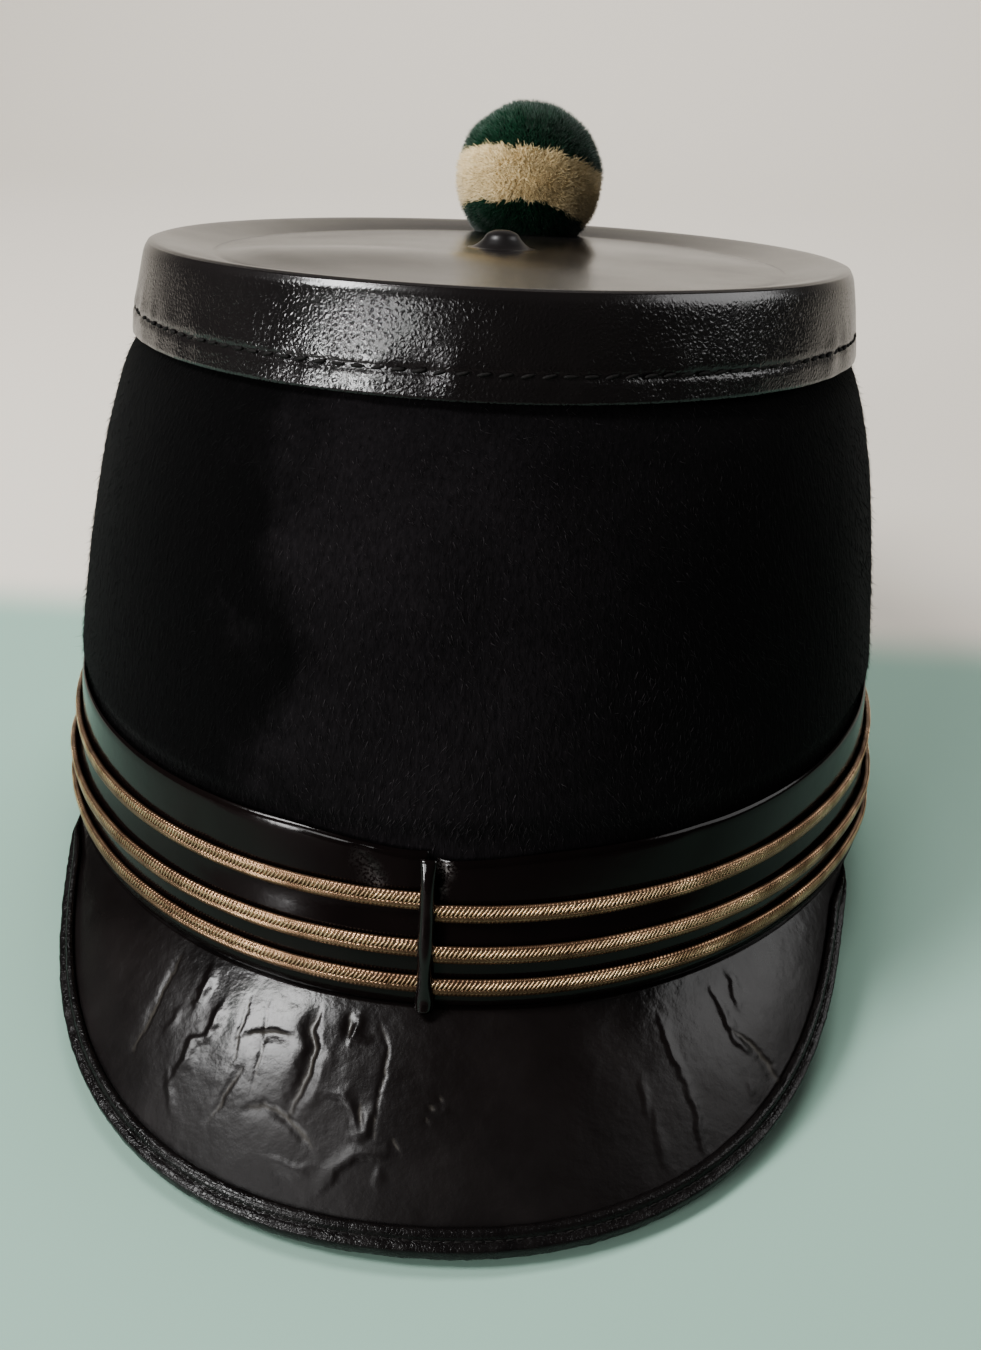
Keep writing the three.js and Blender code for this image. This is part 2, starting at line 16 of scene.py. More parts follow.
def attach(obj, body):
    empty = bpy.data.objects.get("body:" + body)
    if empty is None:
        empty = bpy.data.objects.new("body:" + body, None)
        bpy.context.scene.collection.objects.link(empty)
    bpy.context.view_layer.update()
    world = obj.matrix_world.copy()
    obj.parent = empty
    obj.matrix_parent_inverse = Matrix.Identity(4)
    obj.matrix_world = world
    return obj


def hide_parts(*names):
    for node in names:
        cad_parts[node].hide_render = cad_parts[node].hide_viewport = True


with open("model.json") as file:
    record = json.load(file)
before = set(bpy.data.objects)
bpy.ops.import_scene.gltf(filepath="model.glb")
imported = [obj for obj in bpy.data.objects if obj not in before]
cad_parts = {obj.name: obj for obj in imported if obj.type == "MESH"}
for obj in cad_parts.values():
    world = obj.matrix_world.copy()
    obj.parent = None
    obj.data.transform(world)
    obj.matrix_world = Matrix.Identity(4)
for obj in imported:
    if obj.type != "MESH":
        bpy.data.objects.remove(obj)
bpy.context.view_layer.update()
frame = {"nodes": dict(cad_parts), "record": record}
print("packed nodes:", sorted(frame["nodes"]))

# %% [markdown]
# ## The hat's own frame
# A hatter measures from the rim, and this hat rests tipped back on its peak. So shapes are worked out
# in millimetres from the middle of the rim, and turned into the resting place at the end.
# The mount on the rim says how far the hat is tipped, so no angle has to be typed twice.

# %% Sizes in millimetres and the way from the rim's frame to rest
MM = 0.001
HEAD_WIDTH = 161.4
HEAD_DEPTH = 191.4
CROWN_WIDTH = 132.8
CROWN_DEPTH = 151.6
HAT_HEIGHT = 105.5
FELT = 2.4
CAP_LEATHER = 1.5
BAND_LEATHER = 1.0
GAP = 0.3

rim_mount = next(mount for mount in frame["record"]["mounts"] if mount["name"] == "rim")
TIP = math.atan2(-rim_mount["axis"][1], -rim_mount["axis"][2])
rear_rim = (HEAD_DEPTH + FELT) / 2 * MM
REST_SHIFT = np.array([
    0,
    rim_mount["pos_m"][1] - rear_rim * math.cos(TIP),
    rim_mount["pos_m"][2] + rear_rim * math.sin(TIP),
])


def to_rest(points):
    """Points in the rim's frame, in millimetres, as points of the resting hat, in metres."""
    x, y, z = np.moveaxis(np.asarray(points, float), -1, 0)
    back = y * math.cos(TIP) + z * math.sin(TIP)
    up = z * math.cos(TIP) - y * math.sin(TIP)
    return MM * np.stack([x, back, up], axis=-1) + REST_SHIFT


def turn_to_rest(directions):
    """Directions in the rim's frame as directions of the resting hat."""
    return (to_rest(directions) - REST_SHIFT) / MM


print("tipped back by", round(math.degrees(TIP), 2), "degrees")

# %% [markdown]
# ## The camera
# The camera stands where the photograph was taken from: close to the hat, above the peak, a little
# to one side. It comes first because the folds of the peak are placed by looking through it.

# %% Camera at the photograph's viewing angle
CAMERA_PLACE = Vector((0.0185, -0.2356, 0.1748))
CAMERA_HEADING = math.radians(3.57)
CAMERA_DIP = math.radians(30.9)
CAMERA_ROLL = math.radians(1.58)
PHOTO_WIDTH = 981
PHOTO_HEIGHT = 1350
FOCAL_PIXELS = 1300
SENSOR = 36

camera_turn = (
    Matrix.Rotation(CAMERA_HEADING, 3, "Z")
    @ Matrix.Rotation(math.pi / 2 - CAMERA_DIP, 3, "X")
    @ Matrix.Rotation(CAMERA_ROLL, 3, "Z")
)


def make_camera():
    data = bpy.data.cameras.new("photo_camera")
    data.sensor_width = SENSOR
    data.lens = FOCAL_PIXELS / PHOTO_HEIGHT * SENSOR
    data.clip_start = 0.01
    data.clip_end = 20
    camera = bpy.data.objects.new("photo_camera", data)
    camera.matrix_world = Matrix.Translation(CAMERA_PLACE) @ camera_turn.to_4x4()
    bpy.context.scene.collection.objects.link(camera)
    bpy.context.scene.camera = camera
    return camera


def photo_pixels(points):
    """Where resting points, in metres, lie in the photograph, and how far they are from the camera."""
    seen = (np.asarray(points) - np.array(CAMERA_PLACE)) @ np.array(camera_turn)
    away = -seen[..., 2]
    column = PHOTO_WIDTH / 2 + FOCAL_PIXELS * seen[..., 0] / away
    row = PHOTO_HEIGHT / 2 - FOCAL_PIXELS * seen[..., 1] / away
    return np.stack([column, row], axis=-1), away


camera = make_camera()
print("camera lens", round(camera.data.lens, 2), "mm")

# %% [markdown]
# ## The form of the body
# Seen from above, the hat is an ellipse at every height. Short tables say how it closes in towards
# the crown, and one smooth curve through each table gives every height between the rows.

# %% The body's form
LEAN_BACK = 2.4
LEAN_SIDE = 1.9
CROWN_PITCH = math.radians(1.9)
CROWN_ROLL = math.radians(0.5)
SKIRT_DROP = 15.5
SKIRT_FLARE = 4.1
BAND_HEIGHT = 26.2
BAND_RISE = 1.9
BAND_SEAT = 1.6
SEAT_RUN = 4
BODY_UP = (0, 0.14, 0.3, 0.44, 0.56, 0.67, 0.78, 0.89, 0.95, 1)
BODY_CLOSED = (0, 0.03, 0.106, 0.215, 0.309, 0.414, 0.541, 0.712, 0.835, 1)
SKIRT_DROPS = (0.02, 0.12, 0.36, 0.68, 1)
SKIRT_FLARES = (0.2, 0.4, 0.6, 0.82, 1)

crown_half = np.array([CROWN_WIDTH, CROWN_DEPTH]) / 2
shoulder_half = crown_half + SKIRT_FLARE - CAP_LEATHER - GAP
rim_half = np.array([HEAD_WIDTH, HEAD_DEPTH]) / 2 + FELT + BAND_SEAT
SHOULDER_HEIGHT = HAT_HEIGHT - SKIRT_DROP


def smooth(value):
    value = np.clip(value, 0, 1)
    return value * value * (3 - 2 * value)


def follow(places, values, at):
    """A smooth curve through a table: its value at each place asked for."""
    places = np.asarray(places, float)
    values = np.asarray(values, float)
    slopes = np.gradient(values)
    slopes[1:-1] = (values[2:] - values[:-2]) / (places[2:] - places[:-2])
    slopes[0] = (values[1] - values[0]) / (places[1] - places[0])
    slopes[-1] = (values[-1] - values[-2]) / (places[-1] - places[-2])
    row = np.clip(np.searchsorted(places, at, side="right") - 1, 0, len(places) - 2)
    run = places[row + 1] - places[row]
    part = np.clip((at - places[row]) / run, 0, 1)
    rise = values[row + 1] - values[row]
    bend = (slopes[row] * run - rise) * (1 - part) + (rise - slopes[row + 1] * run) * part
    return values[row] + part * rise + part * (1 - part) * bend


def lean(x, y, z):
    """Takes a point of the straight hat to where the leaning crown carries it."""
    x, y, z = np.broadcast_arrays(x, y, z)
    share = np.clip((z - BAND_HEIGHT) / (HAT_HEIGHT - BAND_HEIGHT), 0, 1.1)
    lift = -math.tan(CROWN_PITCH) * y - math.tan(CROWN_ROLL) * x
    return np.stack([x + LEAN_SIDE * share, y + LEAN_BACK * share, z + lift * share], axis=-1)


def on_ellipse(turn, across, along, z):
    """A point on an ellipse round the hat. Turn 0 is the front and grows towards +X."""
    return lean(across * np.sin(turn), -along * np.cos(turn), z)


def body_half(z):
    """Half the felt's width and depth at a height."""
    closed = follow(BODY_UP, BODY_CLOSED, z / SHOULDER_HEIGHT)
    pressed = BAND_SEAT * (1 - smooth((z - BAND_HEIGHT - BAND_RISE) / SEAT_RUN))
    flare = follow(SKIRT_DROPS, SKIRT_FLARES, (HAT_HEIGHT - z) / SKIRT_DROP)
    under = np.where(z > SHOULDER_HEIGHT, SKIRT_FLARE * (1 - flare), 0)
    across = rim_half[0] + (shoulder_half[0] - rim_half[0]) * closed - pressed - under
    along = rim_half[1] + (shoulder_half[1] - rim_half[1]) * closed - pressed - under
    return across, along


def on_body(turn, out, z):
    """A point beside the felt at a height, so far out from its surface."""
    across, along = body_half(np.maximum(z, 0))
    return on_ellipse(turn, across + out, along + out, z)


def facing(turn):
    """The level direction straight out of the body at a turn."""
    side = np.sin(turn) / rim_half[0]
    front = -np.cos(turn) / rim_half[1]
    return np.stack([side, front, np.zeros_like(side)], axis=-1) / np.hypot(side, front)[..., None]


print("felt at the rim", rim_half * 2, "mm across and along")

# %% [markdown]
# ## From rows of points to a mesh
# Most pieces here are a section carried round the hat. A grid of points becomes one mesh of quads.
# It keeps a UV map in millimetres along and across the piece, so threads and seams can follow it.

# %% Grid meshes
def smooth_path(points, per_span):
    """Points on a smooth curve that passes through each of the given points."""
    points = np.asarray(points, float)
    padded = np.vstack([2 * points[0] - points[1], points, 2 * points[-1] - points[-2]])
    part = np.arange(per_span)[:, None] / per_span
    spans = []
    for before, start, end, after in zip(padded, padded[1:], padded[2:], padded[3:]):
        spans.append(0.5 * (
            2 * start + (end - before) * part
            + (2 * before - 5 * start + 4 * end - after) * part ** 2
            + (3 * start - before - 3 * end + after) * part ** 3
        ))
    return np.vstack(spans + [points[-1:]])


def put_in_scene(name, mesh, material):
    piece = bpy.data.objects.new(name, mesh)
    bpy.context.scene.collection.objects.link(piece)
    if material is not None:
        mesh.materials.append(material)
    return piece


def steps_between(points, axis, wrap):
    """The distance covered along one axis of a grid, measured on its first line."""
    line = np.take(points, 0, axis=1 - axis)
    if wrap:
        line = np.vstack([line, line[:1]])
    runs = np.linalg.norm(np.diff(line, axis=0), axis=-1)
    return np.concatenate([[0], np.cumsum(runs)])


def grid_faces(rows, columns, wrap_rows):
    row = np.arange(rows if wrap_rows else rows - 1)
    row, column = np.meshgrid(row, np.arange(columns), indexing="ij")
    corners = ((row, column), (row, column + 1), (row + 1, column + 1), (row + 1, column))
    faces = [(r % rows) * columns + c % columns for r, c in corners]
    return np.stack(faces, axis=-1).reshape(-1, 4), corners


def mark(mesh, **values):
    """Keeps a number or a direction for each point of a mesh, under a name that nodes can read."""
    for name, value in values.items():
        each = "vector" if value.size == 3 * len(mesh.vertices) else "value"
        layer = mesh.attributes.new(name, "FLOAT_VECTOR" if each == "vector" else "FLOAT", "POINT")
        layer.data.foreach_set(each, value.astype(np.float32).ravel())


def grid_mesh(name, points, material, wrap_rows=False, **values):
    """A mesh from closed sections, a row of points each, with its open ends closed."""
    rows, columns = points.shape[:2]
    faces, corners = grid_faces(rows, columns, wrap_rows)
    polygons = faces.tolist()
    if not wrap_rows:
        polygons.append(list(range(columns))[::-1])
        polygons.append(list(range((rows - 1) * columns, rows * columns)))
    mesh = bpy.data.meshes.new(name)
    mesh.from_pydata(to_rest(points).reshape(-1, 3), [], polygons)
    along = steps_between(points, 0, wrap_rows)
    around = steps_between(points, 1, True)
    place = np.stack([np.stack([along[r], around[c]], axis=-1) for r, c in corners], axis=-2)
    places = np.zeros((len(mesh.loops), 2))
    places[:faces.size] = place.reshape(-1, 2)
    mesh.uv_layers.new(name="millimetres").data.foreach_set("uv", places.ravel())
    mark(mesh, **values)
    if signed_volume(mesh) < 0:
        mesh.flip_normals()
    mesh.shade_smooth()
    print(name, len(mesh.polygons), "faces")
    return put_in_scene(name, mesh, material)


def signed_volume(mesh):
    """Positive when the faces of a closed mesh point outwards."""
    mesh.calc_loop_triangles()
    places = np.empty(len(mesh.vertices) * 3)
    mesh.vertices.foreach_get("co", places)
    triangles = np.empty(len(mesh.loop_triangles) * 3, int)
    mesh.loop_triangles.foreach_get("vertices", triangles)
    a, b, c = np.moveaxis(places.reshape(-1, 3)[triangles.reshape(-1, 3)], 1, 0)
    return float(np.einsum("ij,ij->i", a, np.cross(b, c)).sum())


def unevenness(points, size, seed=0.0):
    """Smooth random values between about -1 and 1, one for each point, for a pattern of that size."""
    flat = np.asarray(points).reshape(-1, 3) / size + seed
    values = [noise.noise(Vector(place)) for place in flat]
    return np.array(values).reshape(np.asarray(points).shape[:-1])


def layered(points, *layers):
    """Several sizes of unevenness together. Each layer is a strength, a size and a seed."""
    return sum(strength * unevenness(points, size, seed) for strength, size, seed in layers)


# %% [markdown]
# ## Shared shader groups
# Several finishes need the same effects: pebbled leather, slow colour drift, fine fibres and a patch
# of painted sheen on the felt. Each is built once as a node group with named inputs. A material places
# the group with its own values and keeps the Principled shader to itself.

# %% Node helpers
NUMBER = "NodeSocketFloat"
VECTOR = "NodeSocketVector"
TREE_SOCKETS = {"Count": "NodeSocketInt", "Seed": "NodeSocketInt", "Material": "NodeSocketMaterial"}


def link(tree, start, end):
    tree.links.new(start, end)


def add_node(tree, kind, feeds=None, **settings):
    """A new node. Each of its feeds is a constant or another node's output."""
    node = tree.nodes.new(kind)
    for name, value in settings.items():
        setattr(node, name, value)
    for socket, value in (feeds or {}).items():
        if isinstance(value, bpy.types.NodeSocket):
            link(tree, value, node.inputs[socket])
        else:
            node.inputs[socket].default_value = value
    return node


def made_by(tree, kind, feeds=None, **settings):
    """What a new node makes, its first output."""
    return add_node(tree, kind, feeds, **settings).outputs[0]


def maths(tree, operation, first, second=0.5):
    return made_by(tree, "ShaderNodeMath", {0: first, 1: second}, operation=operation)


def vector_maths(tree, operation, *operands):
    return made_by(tree, "ShaderNodeVectorMath", dict(enumerate(operands)), operation=operation)


def scaled(tree, vector, amount):
    return made_by(tree, "ShaderNodeVectorMath", {0: vector, "Scale": amount}, operation="SCALE")


def combined(tree, x, y, z):
    return made_by(tree, "ShaderNodeCombineXYZ", {0: x, 1: y, 2: z})


def noise_node(tree, vector, scale, detail=4.0, roughness=0.55):
    feeds = {"Vector": vector, "Scale": scale, "Detail": detail, "Roughness": roughness}
    return add_node(tree, "ShaderNodeTexNoise", feeds).outputs["Fac"]


def smooth_range(tree, value, start, end):
    """0 before the start and 1 past the end, with a smooth change between them."""
    feeds = {"Value": value, "From Min": start, "From Max": end}
    return add_node(tree, "ShaderNodeMapRange", feeds, interpolation_type="SMOOTHSTEP").outputs["Result"]


def group_ends(tree):
    """What a group is given and what it results in."""
    return add_node(tree, "NodeGroupInput").outputs, add_node(tree, "NodeGroupOutput").inputs


def new_group(name, numbers, output):
    """A shader group that takes a place and some numbers, and gives one changing value."""
    tree = bpy.data.node_groups.new(name, "ShaderNodeTree")
    tree.interface.new_socket(name="Vector", in_out="INPUT", socket_type=VECTOR)
    for socket, value in numbers.items():
        tree.interface.new_socket(name=socket, in_out="INPUT", socket_type=NUMBER).default_value = value
    tree.interface.new_socket(name=output, in_out="OUTPUT", socket_type=NUMBER)
    return tree, *group_ends(tree)


# %% Pebbled leather, drift, fibres and the painted sheen patch
PEBBLE_WANDER = 0.0009
FINE_SCALE = 1.7
FINE_SHARE = 0.55
SHEEN_PATCH_EDGES = ((-0.033, -0.016), (0.075, 0.0))
SHEEN_PATCH_WANDER = 0.05


def leather_grain_group():
    """Pebbles with creases between them. Scale is in pebbles per metre."""
    tree, given, result = new_group("leather_grain", {"Scale": 900.0, "Crease": 0.5}, "Height")
    feeds = {"Vector": given["Vector"], "Scale": given["Scale"]}
    wander = add_node(tree, "ShaderNodeTexNoise", feeds).outputs["Color"]
    shift = vector_maths(tree, "MULTIPLY_ADD", wander, (PEBBLE_WANDER,) * 3, given["Vector"])
    feeds["Vector"] = shift
    cells = add_node(tree, "ShaderNodeTexVoronoi", feeds, feature="DISTANCE_TO_EDGE")
    edges = smooth_range(tree, cells.outputs["Distance"], 0.0, given["Crease"])
    fine = noise_node(tree, given["Vector"], maths(tree, "MULTIPLY", given["Scale"], FINE_SCALE))
    height = maths(tree, "ADD", edges, maths(tree, "MULTIPLY", fine, FINE_SHARE))
    link(tree, height, result["Height"])
    return tree


def drift_group():
    """Slow cloudy change over a piece, from 0 to 1, with the contrast turned up by Sharpness."""
    tree, given, result = new_group("drift", {"Scale": 30.0, "Sharpness": 2.0}, "Amount")
    cloud = noise_node(tree, given["Vector"], given["Scale"], detail=5.0)
    spread = maths(tree, "MULTIPLY", maths(tree, "SUBTRACT", cloud, 0.5), given["Sharpness"])
    amount = made_by(tree, "ShaderNodeClamp", {"Value": maths(tree, "ADD", spread, 0.5)})
    link(tree, amount, result["Amount"])
    return tree


def fibres_group():
    """Fine strands drawn out along the vector's third axis, as in felt and brushed wool."""
    tree, given, result = new_group("fibres", {"Scale": 1500.0, "Stretch": 0.15}, "Height")
    stretch = combined(tree, 1.0, 1.0, given["Stretch"])
    drawn = vector_maths(tree, "MULTIPLY", given["Vector"], stretch)
    link(tree, noise_node(tree, drawn, given["Scale"], detail=3.0, roughness=0.7), result["Height"])
    return tree


def painted_sheen_group():
    """A patch left of the middle where felt and hairs are coloured lighter: painted sheen."""
    tree, given, result = new_group("painted_sheen_patch", {"Scale": 55.0}, "Amount")
    place = add_node(tree, "ShaderNodeSeparateXYZ", {0: given["Vector"]})
    cloud = noise_node(tree, given["Vector"], given["Scale"], detail=6.0, roughness=0.65)
    push = maths(tree, "MULTIPLY", maths(tree, "SUBTRACT", cloud, 0.5), SHEEN_PATCH_WANDER)
    across = maths(tree, "ADD", place.outputs["X"], push)
    left, right = (smooth_range(tree, across, *edge) for edge in SHEEN_PATCH_EDGES)
    link(tree, maths(tree, "MULTIPLY", left, right), result["Amount"])
    return tree


leather_grain = leather_grain_group()
painted_sheen = painted_sheen_group()
drift = drift_group()
fibres = fibres_group()
print("shader groups:", [group.name for group in (leather_grain, drift, fibres, painted_sheen)])

# %% [markdown]
# ## Making a material
# Each finish starts from the same few nodes: the piece's own coordinates, a Principled shader and a
# bump. What differs is set by the finish's own function, so each stays short enough to read.

# %% Material helpers
class Finish:
    """One material being built: its tree, its shader and the piece's coordinates."""

    def __init__(self, name, **shader_values):
        self.material = bpy.data.materials.new(name)
        self.material.use_nodes = True
        self.tree = self.material.node_tree
        self.shader = self.tree.nodes["Principled BSDF"]
        for socket, value in shader_values.items():
            self.shader.inputs[socket.replace("_", " ")].default_value = value
        self.place = add_node(self.tree, "ShaderNodeTexCoord").outputs["Object"]

    def group(self, group, output, **values):
        """Places a shared group on the piece's own coordinates."""
        feeds = {"Vector": self.place, **values}
        return add_node(self.tree, "ShaderNodeGroup", feeds, node_tree=group).outputs[output]

    def drift(self, scale, sharpness):
        return self.group(drift, "Amount", Scale=scale, Sharpness=sharpness)

    def attribute(self, name):
        return add_node(self.tree, "ShaderNodeAttribute", attribute_name=name).outputs["Fac"]

    def maths(self, operation, first, second=0.5):
        return maths(self.tree, operation, first, second)

    def roughness(self, value, low, high, stop=1.0):
        """Sends a changing value to the shader's roughness, between two limits."""
        feeds = {"Value": value, "From Max": stop, "To Min": low, "To Max": high}
        node = add_node(self.tree, "ShaderNodeMapRange", feeds)
        link(self.tree, node.outputs["Result"], self.shader.inputs["Roughness"])

    def blend(self, factor, *colours):
        """Mixes two colours. Each is a colour or another node's output."""
        first, second = ((*value, 1.0) if isinstance(value, tuple) else value for value in colours)
        feeds = {0: factor, 6: first, 7: second}
        return add_node(self.tree, "ShaderNodeMix", feeds, data_type="RGBA").outputs[2]

    def colour(self, factor, first, second):
        link(self.tree, self.blend(factor, first, second), self.shader.inputs["Base Color"])

    def bump(self, height, strength, distance, **before):
        feeds = {"Strength": strength, "Distance": distance, "Height": height, **before}
        normal = made_by(self.tree, "ShaderNodeBump", feeds)
        link(self.tree, normal, self.shader.inputs["Normal"])
        return normal


# %% [markdown]
# ## Leather finishes
# There are four leathers. The crown's is satin and pebbled. The band's and the keeper's are patent, a
# lacquer so smooth that it mirrors the table. The band's is rubbed away in a few small places and
# carries a painted highlight beside the keeper. The peak's is lacquered too, but old: it is crazed,
# dusty in its cracks and duller where it has been handled. The binding's is thin and wrinkled.

# %% Leather materials
def crown_leather():
    finish = Finish("crown_leather", Specular_IOR_Level=0.55)
    cloud = finish.drift(24.0, 2.4)
    grain = finish.group(leather_grain, "Height", Scale=1200.0, Crease=0.55)
    finish.colour(cloud, (0.006, 0.0048, 0.005), (0.011, 0.009, 0.009))
    finish.roughness(finish.maths("ADD", cloud, finish.attribute("dull")), 0.18, 0.4, 2.5)
    finish.bump(finish.maths("MULTIPLY", grain, finish.attribute("pebbled")), 0.5, 0.0001)
    return finish.material


def patent_leather(name, bend, gloss, low, high):
    """Lacquered leather. A piece may mark spots with "scuffed" to paint them pale: rubbed lacquer and painted
    highlights.
    """
    finish = Finish(name, IOR=bend, Specular_IOR_Level=gloss)
    cloud = finish.drift(55.0, 2.0)
    # Pale spots: rubbed lacquer, and on the band's corner beside the keeper a painted highlight.
    scuff = finish.maths("MULTIPLY", finish.attribute("scuffed"), finish.drift(2300.0, 8.0))
    lacquer = finish.blend(cloud, (0.004, 0.0026, 0.0026), (0.008, 0.0052, 0.005))
    finish.colour(scuff, lacquer, (0.13, 0.12, 0.115))
    finish.roughness(finish.maths("ADD", cloud, scuff), low, high)
    finish.bump(finish.drift(120.0, 1.0), 0.3, 0.0003)
    return finish.material


def peak_leather():
    finish = Finish("peak_leather", Specular_IOR_Level=0.27)
    cloud = finish.drift(42.0, 2.6)
    crack = finish.attribute("crack")
    base = finish.blend(cloud, (0.0045, 0.0034, 0.0034), (0.0085, 0.0062, 0.006))
    finish.colour(crack, base, (0.045, 0.04, 0.034))
    rough = finish.maths("ADD", finish.maths("MULTIPLY", crack, 0.35), cloud)
    finish.roughness(finish.maths("ADD", rough, finish.attribute("worn")), 0.17, 0.5, 2.0)
    soft = finish.bump(finish.drift(150.0, 1.2), 0.5, 0.0004)
    streaks = finish.group(fibres, "Height", Scale=900.0, Stretch=0.2)
    finish.bump(streaks, 0.04, 0.0001, Normal=soft)
    return finish.material


def binding_leather():
    finish = Finish("binding_leather", Specular_IOR_Level=0.22)
    cloud = finish.drift(150.0, 2.4)
    finish.colour(cloud, (0.004, 0.0034, 0.0035), (0.009, 0.0075, 0.0075))
    finish.roughness(cloud, 0.18, 0.36)
    finish.bump(finish.group(leather_grain, "Height", Scale=1300.0, Crease=0.18), 0.3, 0.0001)
    return finish.material


leather = {
    "crown": crown_leather(),
    "patent": patent_leather("patent_leather", 1.2, 0.9, 0.08, 0.18),
    "keeper": patent_leather("keeper_leather", 1.4, 0.55, 0.07, 0.15),
    "peak": peak_leather(),
    "binding": binding_leather(),
}
print("leathers:", sorted(leather))

# %% [markdown]
# ## Cloth, thread and metal finishes
# Fur felt is nearly black and swallows light, with a faint sheen where short hairs catch it. Left of the
# middle a patch of felt and hair is coloured lighter as painted sheen. The gold is metal thread gone
# brown with age. The threads on top get the bright copy and the ridges under them a darker copy,
# painted shade of the hollows. The two wools are matt, and each strand differs a little from the next.

# %% Cloth and thread materials
def fur_felt():
    finish = Finish(
        "fur_felt", Roughness=0.95, Sheen_Weight=0.05, Sheen_Roughness=0.35, Specular_IOR_Level=0.08,
    )
    strands = finish.group(fibres, "Height", Scale=1400.0, Stretch=0.16)
    lit = finish.blend(finish.drift(45.0, 2.2), (0.009, 0.008, 0.0088), (0.021, 0.018, 0.02))
    # Inside the patch the felt is coloured lighter and outside it darker: painted sheen.
    base = finish.blend(finish.group(painted_sheen, "Amount"), (0.0025, 0.0022, 0.0024), lit)
    finish.colour(strands, (0.0015, 0.0014, 0.0015), base)
    finish.bump(strands, 0.6, 0.0004)
    return finish.material


def felt_hair():
    finish = Finish("felt_hair", Roughness=0.55, Specular_IOR_Level=0.22)
    # Hairs are coloured light only inside the patch: painted sheen.
    tone = finish.maths("MULTIPLY", finish.attribute("tone"), finish.group(painted_sheen, "Amount"))
    finish.colour(tone, (0.0055, 0.0048, 0.0052), (0.075, 0.065, 0.07))
    return finish.material


def gold_thread(name, dark, bright, wraps):
    """Metal thread. Where a piece has wraps, fine slanted lines run over it along its own path."""
    finish = Finish(name, Metallic=0.85)
    cloud = finish.drift(160.0, 2.6)
    aged = finish.blend(finish.drift(28.0, 2.0), bright, tuple(0.62 * value for value in bright))
    finish.colour(cloud, aged, dark)
    finish.roughness(cloud, 0.24, 0.42)
    if wraps:
        slanted = finish.maths("ADD", finish.attribute("along"), finish.attribute("round"))
        finish.bump(finish.maths("SINE", finish.maths("MULTIPLY", slanted, wraps)), 0.6, 0.00005)
    return finish.material


def wool(name, dark, light):
    finish = Finish(
        name, Roughness=0.95, Sheen_Weight=0.25, Sheen_Roughness=0.5, Specular_IOR_Level=0.15,
    )
    mixed = finish.blend(finish.drift(95.0, 2.2), dark, light)
    finish.colour(finish.drift(1400.0, 2.6), tuple(0.75 * value for value in dark), mixed)
    return finish.material


def sewing_thread():
    finish = Finish("sewing_thread", Roughness=0.7, Specular_IOR_Level=0.2)
    finish.colour(finish.drift(2500.0, 2.0), (0.003, 0.003, 0.003), (0.016, 0.014, 0.013))
    return finish.material


def pin_steel():
    finish = Finish("pin_steel", Metallic=1.0)
    cloud = finish.drift(400.0, 2.0)
    finish.colour(cloud, (0.3, 0.3, 0.31), (0.45, 0.45, 0.46))
    finish.roughness(cloud, 0.3, 0.5)
    return finish.material


cloth = {
    "felt": fur_felt(),
    "hair": felt_hair(),
    # The ridges' copy is about half as bright as the threads' copy: painted shade of the hollows under the
    # threads.
    "gold_ridge_shaded": gold_thread("gold_ridge_shaded", (0.10, 0.058, 0.036), (0.42, 0.27, 0.17), 9.0),
    "gold_grain": gold_thread("gold_grain", (0.26, 0.165, 0.10), (0.88, 0.64, 0.42), 0),
    "green": wool("green_wool", (0.0015, 0.02, 0.008), (0.004, 0.062, 0.026)),
    "cream": wool("cream_wool", (0.68, 0.53, 0.3), (0.94, 0.81, 0.54)),
    "thread": sewing_thread(),
    "steel": pin_steel(),
}
print("cloth, thread and metal:", sorted(cloth))

# %% [markdown]
# ## Geometry Nodes helpers
# Stitches, hairs and wool strands repeat by the thousand. Each kind is one small node tree with named
# inputs, and its result is baked to a plain mesh so that nothing live is left on a piece.

# %% Building and baking a tree
def new_tree(name, *inputs):
    """A Geometry Nodes tree with a geometry input and output and the named inputs given."""
    tree = bpy.data.node_groups.new(name, "GeometryNodeTree")
    geometry = {"name": "Geometry", "socket_type": "NodeSocketGeometry"}
    tree.interface.new_socket(in_out="INPUT", **geometry)
    for socket in inputs:
        kind = TREE_SOCKETS.get(socket, NUMBER)
        tree.interface.new_socket(name=socket, in_out="INPUT", socket_type=kind)
    tree.interface.new_socket(in_out="OUTPUT", **geometry)
    return tree, *group_ends(tree)


def named_value(tree, name, kind="FLOAT"):
    """Reads a value that the surface or path carries."""
    node = add_node(tree, "GeometryNodeInputNamedAttribute", {"Name": name}, data_type=kind)
    return node.outputs["Attribute"]


def keep_value(tree, geometry, name, value, domain="POINT"):
    """Stores a value on a geometry under a name that a material can read."""
    feeds = {"Name": name, "Geometry": geometry, "Value": value}
    return made_by(tree, "GeometryNodeStoreNamedAttribute", feeds, data_type="FLOAT", domain=domain)


def chance(tree, seed, low, high):
    feeds = {2: low, 3: high, "Seed": seed}
    return add_node(tree, "FunctionNodeRandomValue", feeds, data_type="FLOAT").outputs[1]


def finish_tree(tree, instances, given, result):
    """Every tree ends the same way: real meshes, smooth faces and a material."""
    real = made_by(tree, "GeometryNodeRealizeInstances", {0: instances})
    rounded = made_by(tree, "GeometryNodeSetShadeSmooth", {0: real})
    feeds = {"Geometry": rounded, "Material": given["Material"]}
    link(tree, made_by(tree, "GeometryNodeSetMaterial", feeds), result["Geometry"])
    return tree


